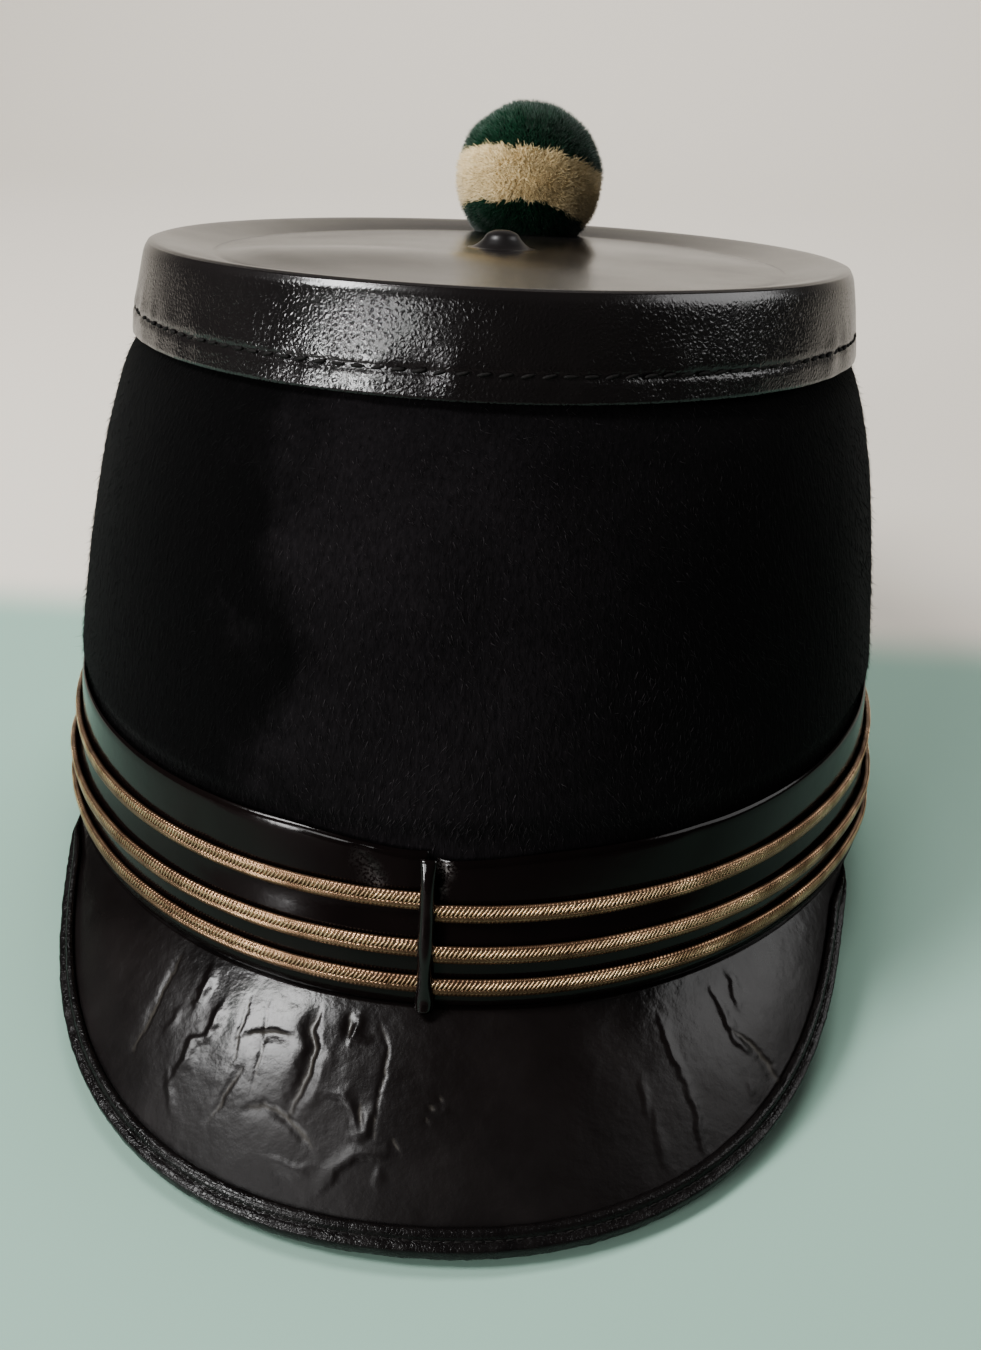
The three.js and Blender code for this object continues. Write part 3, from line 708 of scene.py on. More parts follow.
def bake(name, base, tree, values):
    """Runs a tree on a base object and keeps only the finished mesh, as a piece of its own."""
    modifier = base.modifiers.new(tree.name, "NODES")
    modifier.node_group = tree
    for item in tree.interface.items_tree:
        if item.in_out == "INPUT" and item.name in values:
            modifier[item.identifier] = values[item.name]
    bpy.context.view_layer.update()
    depsgraph = bpy.context.evaluated_depsgraph_get()
    mesh = bpy.data.meshes.new_from_object(
        base.evaluated_get(depsgraph), preserve_all_data_layers=True, depsgraph=depsgraph,
    )
    base.modifiers.remove(modifier)
    mesh.name = name
    print(name, len(mesh.polygons), "faces from", tree.name)
    return put_in_scene(name, mesh, None)


def bake_on_path(name, points, outward, closed, tree, values):
    """Bakes a tree on a line of points that carries the direction out of the surface."""
    count = len(points)
    edges = [(at, at + 1) for at in range(count - 1)]
    if closed:
        edges.append((count - 1, 0))
    mesh = bpy.data.meshes.new("path")
    mesh.from_pydata(to_rest(points), edges, [])
    mark(mesh, outward=turn_to_rest(outward))
    path = put_in_scene("path", mesh, None)
    piece = bake(name, path, tree, values)
    bpy.data.objects.remove(path)
    bpy.data.meshes.remove(mesh)
    return piece


# %% [markdown]
# ## A tree for stitches
# A stitch is a short rounded length of thread. The tree cuts a path into equal steps, lays one stitch
# at each, turns it to face out of the leather and slants it as the needle did. The same tree lays the
# slanted threads down the middle of each gold braid.

# %% The stitch tree
def stepped_path(tree, given):
    """The path cut into equal steps, and the direction out of the surface at each."""
    curve = made_by(tree, "GeometryNodeMeshToCurve", {"Mesh": given["Geometry"]})
    feeds = {"Curve": curve, "Count": given["Count"]}
    steps = made_by(tree, "GeometryNodeResampleCurve", feeds, mode="COUNT")
    return steps, named_value(tree, "outward", "FLOAT_VECTOR")


def stitch_tree():
    tree, given, result = new_tree(
        "stitches", "Count", "Length", "Thickness", "Slant", "Sink", "Jitter", "Seed", "Material",
    )
    steps, outward = stepped_path(tree, given)
    sunk = scaled(tree, outward, maths(tree, "MULTIPLY", given["Sink"], -1.0))
    moved = made_by(tree, "GeometryNodeSetPosition", {"Geometry": steps, "Offset": sunk})
    axes = {0: outward, 1: made_by(tree, "GeometryNodeInputTangent")}
    facing_out = made_by(tree, "FunctionNodeAxesToRotation", axes, primary_axis="Z", secondary_axis="X")
    wobble = chance(tree, given["Seed"], maths(tree, "MULTIPLY", given["Jitter"], -1.0), given["Jitter"])
    angles = combined(tree, 0.0, 0.0, maths(tree, "ADD", given["Slant"], wobble))
    turns = {0: facing_out, 1: angles}
    thread = made_by(tree, "GeometryNodeMeshUVSphere", {"Segments": 6, "Rings": 5, "Radius": 0.5})
    feeds = {"Geometry": thread, "Rotation": (0, math.pi / 2, 0)}
    placed = made_by(tree, "GeometryNodeInstanceOnPoints", {
        "Points": moved,
        "Instance": made_by(tree, "GeometryNodeTransform", feeds),
        "Rotation": made_by(tree, "FunctionNodeRotateRotation", turns, rotation_space="LOCAL"),
        "Scale": combined(tree, given["Length"], given["Thickness"], given["Thickness"]),
    })
    return finish_tree(tree, placed, given, result)


stitches = stitch_tree()


def sew(name, points, outward, closed, **values):
    """Lays a row of stitches along a path, with lengths given in millimetres."""
    for length in ("Length", "Thickness", "Sink"):
        values[length] = values[length] * MM
    return bake_on_path(name, points, outward, closed, stitches, values)


# %% [markdown]
# ## A tree for hair and wool
# A strand is a cone of three faces, the cheapest shape that still has a tip. Points are scattered over
# a surface by chance with a fixed seed, as thickly as the surface's own "nap" value says, and each
# strand follows the surface's "lay", the direction in which it is brushed.

# %% The strand tree
SHORTEST_STRAND = 0.55


def strand_tree():
    tree, given, result = new_tree(
        "strands", "Density", "Length", "Radius", "Stand", "Mess", "Seed", "Material",
    )
    thickly = maths(tree, "MULTIPLY", named_value(tree, "nap"), given["Density"])
    feeds = {"Mesh": given["Geometry"], "Density": thickly, "Seed": given["Seed"]}
    scattered = add_node(
        tree, "GeometryNodeDistributePointsOnFaces", feeds, distribute_method="RANDOM",
    )
    standing = scaled(tree, scattered.outputs["Normal"], given["Stand"])
    combed = vector_maths(tree, "ADD", standing, named_value(tree, "lay", "FLOAT_VECTOR"))
    feeds = {0: (-1, -1, -1), 1: (1, 1, 1), "Seed": given["Seed"]}
    stray = made_by(tree, "FunctionNodeRandomValue", feeds, data_type="FLOAT_VECTOR")
    direction = vector_maths(tree, "ADD", combed, scaled(tree, stray, given["Mess"]))
    cone = {"Vertices": 3, "Radius Top": 0.0, "Radius Bottom": given["Radius"], "Depth": given["Length"]}
    placed = made_by(tree, "GeometryNodeInstanceOnPoints", {
        "Points": scattered.outputs["Points"],
        "Instance": made_by(tree, "GeometryNodeMeshCone", cone, fill_type="NONE"),
        "Rotation": made_by(tree, "FunctionNodeAlignRotationToVector", {"Vector": direction}, axis="Z"),
        "Scale": chance(tree, given["Seed"], SHORTEST_STRAND, 1.0),
    })
    toned = keep_value(tree, placed, "tone", chance(tree, 0, 0.0, 1.0), "INSTANCE")
    return finish_tree(tree, toned, given, result)


strands = strand_tree()


def grow(name, surface, **values):
    """Grows strands on a surface. Density is per square millimetre, lengths are in millimetres."""
    values["Density"] = values["Density"] / MM ** 2
    for length in ("Length", "Radius"):
        values[length] = values[length] * MM
    return bake(name, surface, strands, values)


# %% [markdown]
# ## The felt body
# The body is blocked from one sheet of stiffened fur felt. Its section is a wall 2.4 mm thick with
# soft edges. A closed section carried round the hat gives both faces of the wall at once, and a slow
# unevenness keeps it from looking turned on a lathe.

# %% Felt body
ROUND_STEPS = 240
round_turns = np.arange(ROUND_STEPS) / ROUND_STEPS * 2 * math.pi
FELT_TUCK = 0.95
FELT_TOP = HAT_HEIGHT - CAP_LEATHER - GAP - FELT_TUCK
FELT_EDGE = 0.7
FELT_UNEVEN = 0.3
FELT_SWELL_SIZE = 26
FELT_ROWS = {"band": 9, "body": 58, "shoulder": 7, "inside": 26}
NAP_SWIRL_SIZE = 24


def felt_body():
    outside = np.concatenate([
        np.linspace(FELT_EDGE, BAND_HEIGHT, FELT_ROWS["band"])[:-1],
        np.linspace(BAND_HEIGHT, SHOULDER_HEIGHT, FELT_ROWS["body"])[:-1],
        np.linspace(SHOULDER_HEIGHT, FELT_TOP, FELT_ROWS["shoulder"]),
    ])
    inside = np.linspace(FELT_TOP, FELT_EDGE, FELT_ROWS["inside"])
    heights = np.concatenate([outside, inside, [0, 0]])
    out = np.concatenate([
        np.zeros(len(outside)),
        np.full(len(inside), -FELT),
        [FELT_EDGE - FELT, -FELT_EDGE],
    ])
    turn, z = np.meshgrid(round_turns, heights, indexing="ij")
    points = on_body(turn, out[None, :], z)
    shown = smooth((z - BAND_HEIGHT - 4) / 8) * smooth((SHOULDER_HEIGHT - 1 - z) / 4) * (out[None, :] > -1)
    swell = unevenness(points, FELT_SWELL_SIZE) * FELT_UNEVEN * shown
    points = on_body(turn, out[None, :] + swell, z)
    bare = (out[None, :] == 0) & (z > BAND_HEIGHT + 1) & (z < SHOULDER_HEIGHT + 1)
    across = np.stack([np.cos(turn), np.sin(turn), 0 * turn], axis=-1)
    swirl = 0.2 + 1.3 * unevenness(points, NAP_SWIRL_SIZE, 5.0)
    lay = turn_to_rest(swirl[..., None] * across + np.array([0, 0, -1.0]))
    nap = bare.astype(float)
    return grid_mesh("felt_shell", points, cloth["felt"], wrap_rows=True, nap=nap, lay=lay)


felt_shell = felt_body()
felt_nap = grow(
    "felt_nap", felt_shell, Density=1.75, Length=1.7, Radius=0.045,
    Stand=0.2, Mess=0.55, Seed=4, Material=cloth["hair"],
)
felt_stray = grow(
    "felt_stray_hairs", felt_shell, Density=0.05, Length=2.4, Radius=0.04,
    Stand=1.1, Mess=0.9, Seed=9, Material=cloth["hair"],
)

# %% [markdown]
# ## The crown cap
# The cap is leather moulded wet over a block: a turned-down skirt, a soft edge, a ring that slopes
# inwards, a slightly warped disc and a small nub in its middle. A row of stitches pulls the skirt in,
# and the leather puckers between them. The puckers are in the mesh; only the pebbles are bump.

# %% Crown cap
RING_WIDTH = 11.1
RING_ROWS = ((0.08, 0), (0.5, 0.46), (0.93, 1.02), (1, 1.06))
RING_DROP = 1.9
DISC_RISE = 1.3
NUB_RADIUS = 5.5
NUB_HEIGHT = 3.5
NUB_FOOT = NUB_RADIUS * 1.7
NUB_ROWS = ((1.3, 0.02), (0.95, 0.16), (0.7, 0.48), (0.55, 0.78), (0.3, 0.96), (0.02, 1))
DISC_SHARES = (0.97, 0.85, 0.6, 0.35, 0.1)
CAP_STITCH_DROP = 11.6
CAP_STITCH_COUNT = 146
CAP_STITCH_SINK = 0.5
CAP_PUCKER = 0.42
CAP_LIP = (0.45, 0.45, 0.12)
CAP_TUCK = (CAP_LEATHER, CAP_LEATHER, -0.25)
CAP_GROOVE_WIDTH = 0.5
CAP_PUCKER_WIDTH = 2.8
CAP_CREASE_SIZE = 3.1
CAP_WAVE_SIZE = 19
# Each row is a swelling's middle, its reach both ways and its height.
DISC_SWELLS = ((-22, -26, 34, 17, 1.5), (30, -18, 26, 22, -0.8), (-30, 30, 22, 24, -0.6))


def disc_height(share):
    return HAT_HEIGHT - RING_DROP + DISC_RISE * (1 - share * share)


def cap_profile():
    """Rows of the cap's outside, from the skirt's edge to the nub: half-width, half-depth, height."""
    edge = crown_half - RING_WIDTH
    skirt = [
        (*(crown_half + SKIRT_FLARE * flare), HAT_HEIGHT - SKIRT_DROP * fall)
        for flare, fall in zip(SKIRT_FLARES[::-1], SKIRT_DROPS[::-1])
    ]
    ring = [
        (*(crown_half - RING_WIDTH * in_), HAT_HEIGHT - RING_DROP * fall)
        for in_, fall in RING_ROWS
    ]
    disc = [
        (*(NUB_FOOT + (edge - NUB_FOOT) * share), disc_height(share))
        for share in DISC_SHARES
    ]
    nub = [
        (NUB_RADIUS * out, NUB_RADIUS * out, disc_height(0) + NUB_HEIGHT * up)
        for out, up in NUB_ROWS
    ]
    return smooth_path(skirt, 9)[:-1], smooth_path([skirt[-1], *ring, *disc, *nub], 6)


def swell_at(x, y):
    total = np.zeros_like(x)
    for at_x, at_y, wide, deep, height in DISC_SWELLS:
        total += height * np.exp(-((x - at_x) / wide) ** 2 - ((y - at_y) / deep) ** 2)
    return total


def crown_cap():
    skirt, top = cap_profile()
    outer = np.vstack([skirt, top])
    inner = outer[4:].copy()
    sideways = len(skirt) - 4
    inner[:sideways, :2] -= CAP_LEATHER
    inner[sideways:, 2] -= CAP_LEATHER
    inner[sideways:sideways + 5, :2] -= CAP_LEATHER
    inner = inner[inner[:, 0] > NUB_RADIUS * 1.1]
    inner = np.vstack([inner, [[0.02, 0.02, inner[-1, 2]]]])
    lip = outer[0] - np.array(CAP_LIP)
    tuck = outer[0] - np.array(CAP_TUCK)
    rows = np.vstack([inner[::-1], [tuck], [lip], outer])
    first_outer = len(inner) + 2
    turn = round_turns[None, :]
    across, along, z = (rows[:, at, None] for at in range(3))
    points = on_ellipse(turn, across, along, z)
    disc = smooth((crown_half[0] - RING_WIDTH * 0.75 - across) / 12) * smooth((across - 3) / 5)
    points[..., 2] += swell_at(points[..., 0], points[..., 1]) * disc
    flat_from = first_outer + len(skirt) + 3
    skirt_out = cap_relief(points, turn, z, np.arange(len(rows))[:, None] >= first_outer)
    outward = facing(np.broadcast_to(turn, points.shape[:2]))
    points += outward * skirt_out[..., None]
    falling = smooth((HAT_HEIGHT - z + 0 * turn - 0.6) / 1.6) * (np.arange(len(rows))[:, None] < flat_from)
    nub = smooth((NUB_RADIUS * 1.5 - across + 0 * turn) / NUB_RADIUS)
    return grid_mesh("cap_leather", points, leather["crown"], pebbled=0.12 + 0.88 * falling, dull=3 * nub)


def cap_relief(points, turn, z, outside):
    """How far the stitches and creases push the skirt's outside in or out."""
    fall = HAT_HEIGHT - z
    near = np.exp(-((fall - CAP_STITCH_DROP) / CAP_GROOVE_WIDTH) ** 2)
    beside = np.exp(-((fall - CAP_STITCH_DROP) / CAP_PUCKER_WIDTH) ** 2)
    each = 0.65 + 0.35 * np.cos(turn * CAP_STITCH_COUNT)
    crease = unevenness(points * np.array([1, 1, 0.25]), CAP_CREASE_SIZE, 5.3)
    slow = unevenness(points, CAP_WAVE_SIZE, 2.1)
    skirt = outside & (fall > 1.5)
    shift = -CAP_STITCH_SINK * near * each + CAP_PUCKER * beside * crease
    shift += 0.1 * crease * smooth((fall - 2) / 8) + 0.22 * slow * smooth((fall - 2) / 6)
    return shift * skirt


cap_leather = crown_cap()


def cap_seam():
    turn = np.linspace(0, 2 * math.pi, CAP_STITCH_COUNT * 4, endpoint=False)
    out = SKIRT_FLARE * follow(SKIRT_DROPS, SKIRT_FLARES, CAP_STITCH_DROP / SKIRT_DROP)
    z = HAT_HEIGHT - CAP_STITCH_DROP
    points = on_ellipse(turn, crown_half[0] + out, crown_half[1] + out, z)
    return points, facing(turn)


cap_stitches = sew(
    "cap_stitches", *cap_seam(), True, Count=CAP_STITCH_COUNT, Length=2.3, Thickness=0.7,
    Slant=0.12, Sink=0.2, Jitter=0.16, Seed=3, Material=cloth["thread"],
)

# %% [markdown]
# ## The base band
# One strip of patent leather runs round the foot of the hat. Its ends meet at the front, one a little
# higher than the other, and the right end's upper corner has curled away. A polished strip shows its
# waves in what it mirrors, so the unevenness here is small and slow. Where the lacquer is dented, the
# mesh sinks a little. An attribute paints a few spots pale: rubbed lacquer left of the keeper, and a
# painted highlight on the curled corner right of it.

# %% Base band
FLANGE_LEATHER = 1.0
FLANGE_HEIGHT = 9
FLANGE_RUN = math.radians(14)
PEAK_SPREAD = math.radians(66.6)
BAND_STEPS = 420
BAND_TUCK = 0.35
BAND_CORNER = 1.6
BAND_SKIVED = 0.6
SKIVE_RUN = 2.5
BAND_INNER_STEP = 5
BAND_DIPS = {"left": 1.6, "right": 1.1}
BAND_WAVE = 0.16
BAND_WAVE_SIZE = 22
BAND_ROWS = 26
BAND_EDGE = 0.25
CORNER_REACH = 4.2
END_RUN = math.radians(2.4)
END_NEAR = math.radians(4)
END_STEPS = 14
# Each row is a mark's turn in degrees, its height, its width, how deep it is and how pale it is painted.
# Pale spots left of the keeper are rubbed lacquer. Those right of it are a painted highlight on the corner.
BAND_DENTS = (
    (-7.6, 24.4, 1.5, 0.35, 0.15),
    (-6.4, 22.2, 1.5, 0.4, 0.35),
    (-5.6, 20.6, 1.1, 0.3, 0.55),
    (1.8, 23.8, 1.2, 0, 1.0),
    (1.5, 20.4, 0.8, 0, 0.8),
    (-28, 21, 4, 0.2, 0),
    (31, 23, 4, 0.2, 0),
)


def way_round(turn):
    return turn / (2 * math.pi)


def flange_lift(turn, z):
    """How far the peak's hidden flange lifts the band."""
    from_front = np.abs(np.arctan2(np.sin(turn), np.cos(turn)))
    past = (from_front - PEAK_SPREAD) / FLANGE_RUN
    above = (z - FLANGE_HEIGHT) / FLANGE_HEIGHT
    return (FLANGE_LEATHER + GAP) * (1 - smooth(past)) * (1 - smooth(above))


def band_outside(turn, z):
    return GAP + flange_lift(turn, z) + BAND_LEATHER


def band_top(turn):
    """The strip's upper edge climbs on its way round, and dips at both ends under the keeper."""
    dip = BAND_DIPS["left"] * smooth((turn - math.radians(342)) / math.radians(18))
    dip += BAND_DIPS["right"] * smooth((math.radians(15) - turn) / math.radians(15))
    return BAND_HEIGHT + BAND_RISE * way_round(turn) - dip


def strip_turns(clearance, count):
    """Turns for a strip that stops so far short of the joint at the front, closer set at its ends."""
    end = clearance / body_half(np.array(BAND_HEIGHT))[0]
    close = np.linspace(end, END_NEAR, END_STEPS)[:-1]
    rest = np.linspace(END_NEAR, 2 * math.pi - END_NEAR, count)
    return np.concatenate([close, rest, 2 * math.pi - close[::-1]])


def base_band():
    shares = np.concatenate([[0], np.linspace(0.02, 0.97, BAND_ROWS), [1]])
    turn = strip_turns(GAP / 2, BAND_STEPS)[:, None]
    top = band_top(turn)
    outer_z = shares[None, :] * top
    outer_out = band_outside(turn, outer_z)
    for past in (outer_z - top + BAND_EDGE, BAND_EDGE - outer_z):
        share = np.clip(past, 0, None) / BAND_EDGE
        outer_out = outer_out - BAND_EDGE * (1 - np.sqrt(np.clip(1 - share ** 2, 0, 1)))
    inner_z = outer_z[:, ::-BAND_INNER_STEP]
    inner_out = band_outside(turn, inner_z) - BAND_LEATHER
    inner_out += BAND_SKIVED * smooth((inner_z - top + SKIVE_RUN) / SKIVE_RUN)
    z = np.hstack([outer_z, inner_z])
    out = np.hstack([outer_out, inner_out])
    turns = np.broadcast_to(turn, z.shape)
    points = on_body(turns, out, z)
    wave = unevenness(points, BAND_WAVE_SIZE, 7.7) * BAND_WAVE * smooth(z / 3)
    from_end = np.minimum(turns, 2 * math.pi - turns)
    from_corner = np.hypot(turns * rim_half[1], 0.55 * (top - z))
    tuck = BAND_TUCK * smooth(1 - from_end / END_RUN) * smooth((z - top + 12) / 8)
    tuck += BAND_CORNER * np.clip(1 - from_corner / CORNER_REACH, 0, 1) ** 1.3
    scuffed = np.zeros_like(z)
    for at, height, wide, deep, paleness in BAND_DENTS:
        away = (turns - math.radians(at % 360)) * rim_half[1]
        spot = np.exp(-(away ** 2 + (z - height) ** 2) / wide ** 2)
        tuck += deep * spot
        scuffed = np.maximum(scuffed, paleness * spot)
    points = on_body(turns, out + wave - tuck, z)
    return grid_mesh("band_leather", points, leather["patent"], scuffed=scuffed)


band_leather = base_band()

# %% [markdown]
# ## The gold braids
# Each braid is a flat cord of two padded ridges, bound by threads that cross the groove between them.
# Geometry Nodes suit a piece that follows a path: one tree sweeps both ridges along the band, and the
# stitch tree lays the slanted binding threads. The ridges keep how far along and how far round each
# point is, so the material can draw the fine wrapping of metal thread.

# %% The ridge tree
RIDGE_SIDES = 12


def ridge_tree():
    tree, given, result = new_tree("ridges", "Count", "Half Height", "Half Depth", "Apart", "Material")
    steps, outward = stepped_path(tree, given)
    feeds = {"Curve": steps, "Normal": outward}
    upright = made_by(tree, "GeometryNodeSetCurveNormal", feeds, mode="FREE")
    length = add_node(tree, "GeometryNodeSplineParameter").outputs["Length"]
    measured = keep_value(tree, upright, "along", maths(tree, "DIVIDE", length, MM))
    profile = add_node(tree, "GeometryNodeJoinGeometry")
    for side in (-1, 1):
        feeds = {"Resolution": RIDGE_SIDES, "Radius": 1.0}
        circle = made_by(tree, "GeometryNodeCurvePrimitiveCircle", feeds, mode="RADIUS")
        part = add_node(tree, "GeometryNodeSplineParameter").outputs["Factor"]
        aside = maths(tree, "MULTIPLY", given["Apart"], side / 2)
        oval = made_by(tree, "GeometryNodeTransform", {
            "Geometry": keep_value(tree, circle, "round", part),
            "Translation": combined(tree, given["Half Depth"], aside, 0.0),
            "Scale": combined(tree, given["Half Depth"], given["Half Height"], 0.0),
        })
        link(tree, oval, profile.inputs[0])
    feeds = {"Curve": measured, "Profile Curve": profile.outputs[0], "Fill Caps": True}
    return finish_tree(tree, made_by(tree, "GeometryNodeCurveToMesh", feeds), given, result)


ridges = ridge_tree()

# %% Gold braids
BRAID_HEIGHT = 3.2
BRAID_DEPTH = 1.1
BRAID_ROWS = {
    "upper": {"low": 0.635, "high": 0.71},
    "middle": {"low": 0.387, "high": 0.421},
    "lower": {"low": 0.158, "high": 0.173},
}
BRAID_WAVE = 0.12
BRAID_WAVE_SIZE = 14
BRAID_STEPS = 600
KEEPER_WIDTH = 2.6
RIDGE_STEPS = 760
RIDGE_OUT = 0.06
RIDGE_FULLNESS = 1.06
RIDGE_SPACING = 0.96
THREADS_OUT = BRAID_DEPTH * 1.05
THREADS_UP = 0.55
BINDING_THREADS = 820


def braid_path(row, out, up=0.0):
    """The middle of a braid's groove, so far out from the band and so far above."""
    turn = strip_turns(KEEPER_WIDTH / 2 - GAP / 2, BRAID_STEPS)
    share = row["low"] + (row["high"] - row["low"]) * way_round(turn)
    z = BAND_HEIGHT * share
    points = on_body(turn, band_outside(turn, z) + out, z + up)
    points[..., 2] += BRAID_WAVE * unevenness(points, BRAID_WAVE_SIZE, 3.3)
    return points, facing(turn)


def gold_braid(level, row):
    cords = bake_on_path(f"braid_ridges_{level}", *braid_path(row, RIDGE_OUT), False, ridges, {
        "Count": RIDGE_STEPS,
        "Half Height": BRAID_HEIGHT / 4 * RIDGE_FULLNESS * MM,
        "Half Depth": BRAID_DEPTH / 2 * MM,
        "Apart": BRAID_HEIGHT / 2 * RIDGE_SPACING * MM,
        "Material": cloth["gold_ridge_shaded"],
    })
    threads = sew(
        f"braid_threads_{level}", *braid_path(row, THREADS_OUT, THREADS_UP), False,
        Count=BINDING_THREADS, Length=2.1, Thickness=0.44, Slant=1.0, Sink=0.0, Jitter=0.14, Seed=5,
        Material=cloth["gold_grain"],
    )
    return cords, threads


braids = {level: gold_braid(level, row) for level, row in BRAID_ROWS.items()}

# %% [markdown]
# ## The keeper
# A narrow rolled strap covers the joint of the band. It is pressed in at the middle and flares where
# it is tucked under at the foot. Its round section mirrors the window as a thin bright line.

# %% Keeper
KEEPER_DEPTH = 1.9
KEEPER_ROWS = 60
KEEPER_SIDES = 15
KEEPER_UP = (0, 0.1, 0.35, 0.6, 0.8, 0.93, 1)
KEEPER_PROUD = (1.25, 0.95, 1, 1.15, 1, 0.7, 0.35)


def keeper_strap():
    share = np.linspace(0, 1, KEEPER_ROWS)
    proud = KEEPER_DEPTH * follow(KEEPER_UP, KEEPER_PROUD, share)
    flare = KEEPER_WIDTH / 2 * (1 + 0.2 * np.exp(-((share - 0.06) / 0.09) ** 2) - 0.04 * np.sin(share * 9))
    half = np.linspace(0, math.pi, KEEPER_SIDES)
    front = np.stack([-np.cos(half), 0.12 + 0.88 * np.sin(half) ** 0.9], axis=-1)
    section = np.vstack([[-1, 0.0], front, [1, 0.0]])
    z = (GAP + (BAND_HEIGHT - 3 * GAP) * share)[:, None]
    across = flare[:, None] * section[None, :, 0]
    out = proud[:, None] * section[None, :, 1]
    turn = np.arcsin(across / body_half(z)[0])
    points = on_body(turn, band_outside(turn, z) + GAP + out, z)
    return grid_mesh("keeper_strap", points, leather["keeper"])


keeper = keeper_strap()

# %% [markdown]
# ## The peak
# The peak is stiff leather, cut as a crescent and moulded to a slope. Age has cracked and buckled its
# lacquer. The cracks were marked on the photograph, in its pixels, and each point of the mesh
# asks how near it is to one as the camera sees it. That gives folds that the light can catch.

# %% The peak's form
PEAK_WIDTH = 37
PEAK_LEATHER = 2.2
PEAK_SLOPE = math.radians(38)
PEAK_END_SLOPE = math.radians(56)
PEAK_CURL = math.radians(7)
PEAK_FULLNESS = 2.7
PEAK_POINT = 1.9
BINDING_LEATHER = 0.9
PEAK_ROOT = GAP + FLANGE_LEATHER + GAP + BAND_LEATHER
ARC_STEPS = 8


def bare_width(turn):
    share = np.minimum(np.abs(turn) / PEAK_SPREAD, 1)
    return np.maximum(PEAK_WIDTH * (1 - share ** PEAK_FULLNESS) ** PEAK_POINT - GAP - BINDING_LEATHER, 0)


def peak_section(turn, share, width):
    """How far out and down the peak's upper face has come at a share of its width, and its fall."""
    slope = PEAK_SLOPE + (PEAK_END_SLOPE - PEAK_SLOPE) * (turn / PEAK_SPREAD) ** 2
    part = (np.arange(ARC_STEPS) + 0.5) / ARC_STEPS
    falls = slope[..., None] + PEAK_CURL * (2 * part * share[..., None] - 1)
    out = np.cos(falls).mean(axis=-1) * width * share
    down = np.sin(falls).mean(axis=-1) * width * share
    return out, down, slope + PEAK_CURL * (2 * share - 1)


def beside_rim(turn, out, z):
    """Along the felt to the peak's root, then square to the rim."""
    turn, out, z = np.broadcast_arrays(turn, out, z)
    point = on_body(turn, np.minimum(out, PEAK_ROOT), z)
    return point + facing(turn) * np.maximum(out - PEAK_ROOT, 0)[..., None]


# %% Cracks and folds of the peak
# Each row is a fold's width, its depth, less than nothing where it stands up, and its path.
FOLDS = (
    (0.7, 0.25, ((181, 956), (155, 1007), (133, 1051))),
    (1.0, -0.5, ((213, 963), (205, 985), (195, 1004))),
    (1.0, -0.45, ((221, 1004), (214, 1020), (206, 1035))),
    (1.1, -0.5, ((206, 1035), (192, 1040), (183, 1062), (172, 1080))),
    (0.8, -0.2, ((178, 1010), (165, 1030))),
    (0.45, 0.16, ((251, 995), (240, 1030), (231, 1068))),
    (0.8, 0.3, ((242, 1068), (228, 1092), (211, 1119))),
    (0.4, 0.14, ((270, 1000), (262, 1050), (250, 1095))),
    (1.6, 0.4, ((246, 1036), (268, 1032), (292, 1036))),
    (1.5, 0.8, ((318, 1012), (310, 1028), (316, 1045), (306, 1075), (290, 1112))),
    (1.4, -0.22, ((322, 1035), (327, 1052), (318, 1085), (296, 1118))),
    (1.2, 0.55, ((248, 1108), (266, 1106), (284, 1114), (299, 1130), (312, 1148))),
    (1.1, 0.55, ((352, 1012), (349, 1035))),
    (0.9, -0.45, ((360, 1006), (358, 1024), (352, 1038), (366, 1042))),
    (1.0, -0.4, ((327, 1094), (344, 1096), (352, 1112), (355, 1138))),
    (1.0, -0.45, ((355, 1138), (366, 1134), (373, 1112))),
    (1.2, 0.4, ((362, 1104), (360, 1124))),
    (0.5, 0.2, ((383, 1023), (388, 1050), (386, 1070), (378, 1100), (374, 1138))),
    (1.4, -0.5, ((321, 1190), (336, 1170), (355, 1156), (384, 1155))),
    (0.8, -0.35, ((167, 1074), (169, 1092), (170, 1110))),
    (0.9, -0.3, ((378, 1168), (376, 1184))),
    (1.4, -0.3, ((308, 1166), (297, 1168), (270, 1158))),
    (0.9, -0.4, ((659, 1022), (673, 1060), (686, 1084))),
    (0.9, -0.45, ((686, 1084), (694, 1110), (701, 1150))),
    (1.0, -0.3, ((640, 1082), (646, 1114))),
    (1.1, -0.25, ((654, 1106), (656, 1130), (664, 1166))),
    (1.1, -0.5, ((710, 990), (724, 1016), (738, 1044), (757, 1054))),
    (1.0, 0.5, ((733, 1030), (752, 1044), (768, 1062), (778, 1082))),
    (1.1, -0.4, ((724, 962), (730, 980), (738, 1010))),
    (1.2, -0.25, ((747, 1078), (751, 1098))),
    (0.9, 0.3, ((431, 1107), (434, 1110))),
    (0.7, 0.25, ((440, 1098), (442, 1101))),
    (0.6, 0.2, ((426, 1120), (428, 1123))),
    (0.7, -0.2, ((444, 1110), (446, 1112))),
    (0.9, 0.2, ((392, 1140), (398, 1150))),
)
FOLD_DEPTH = 0.6
FOLD_WIDTH = 0.5
SOFT_FLANK = 2.1
STEEP_FLANK = 0.66
CRACK_THIN = 2.2
RAGGED = ((2.4, 2.6), (0.9, 1.5))


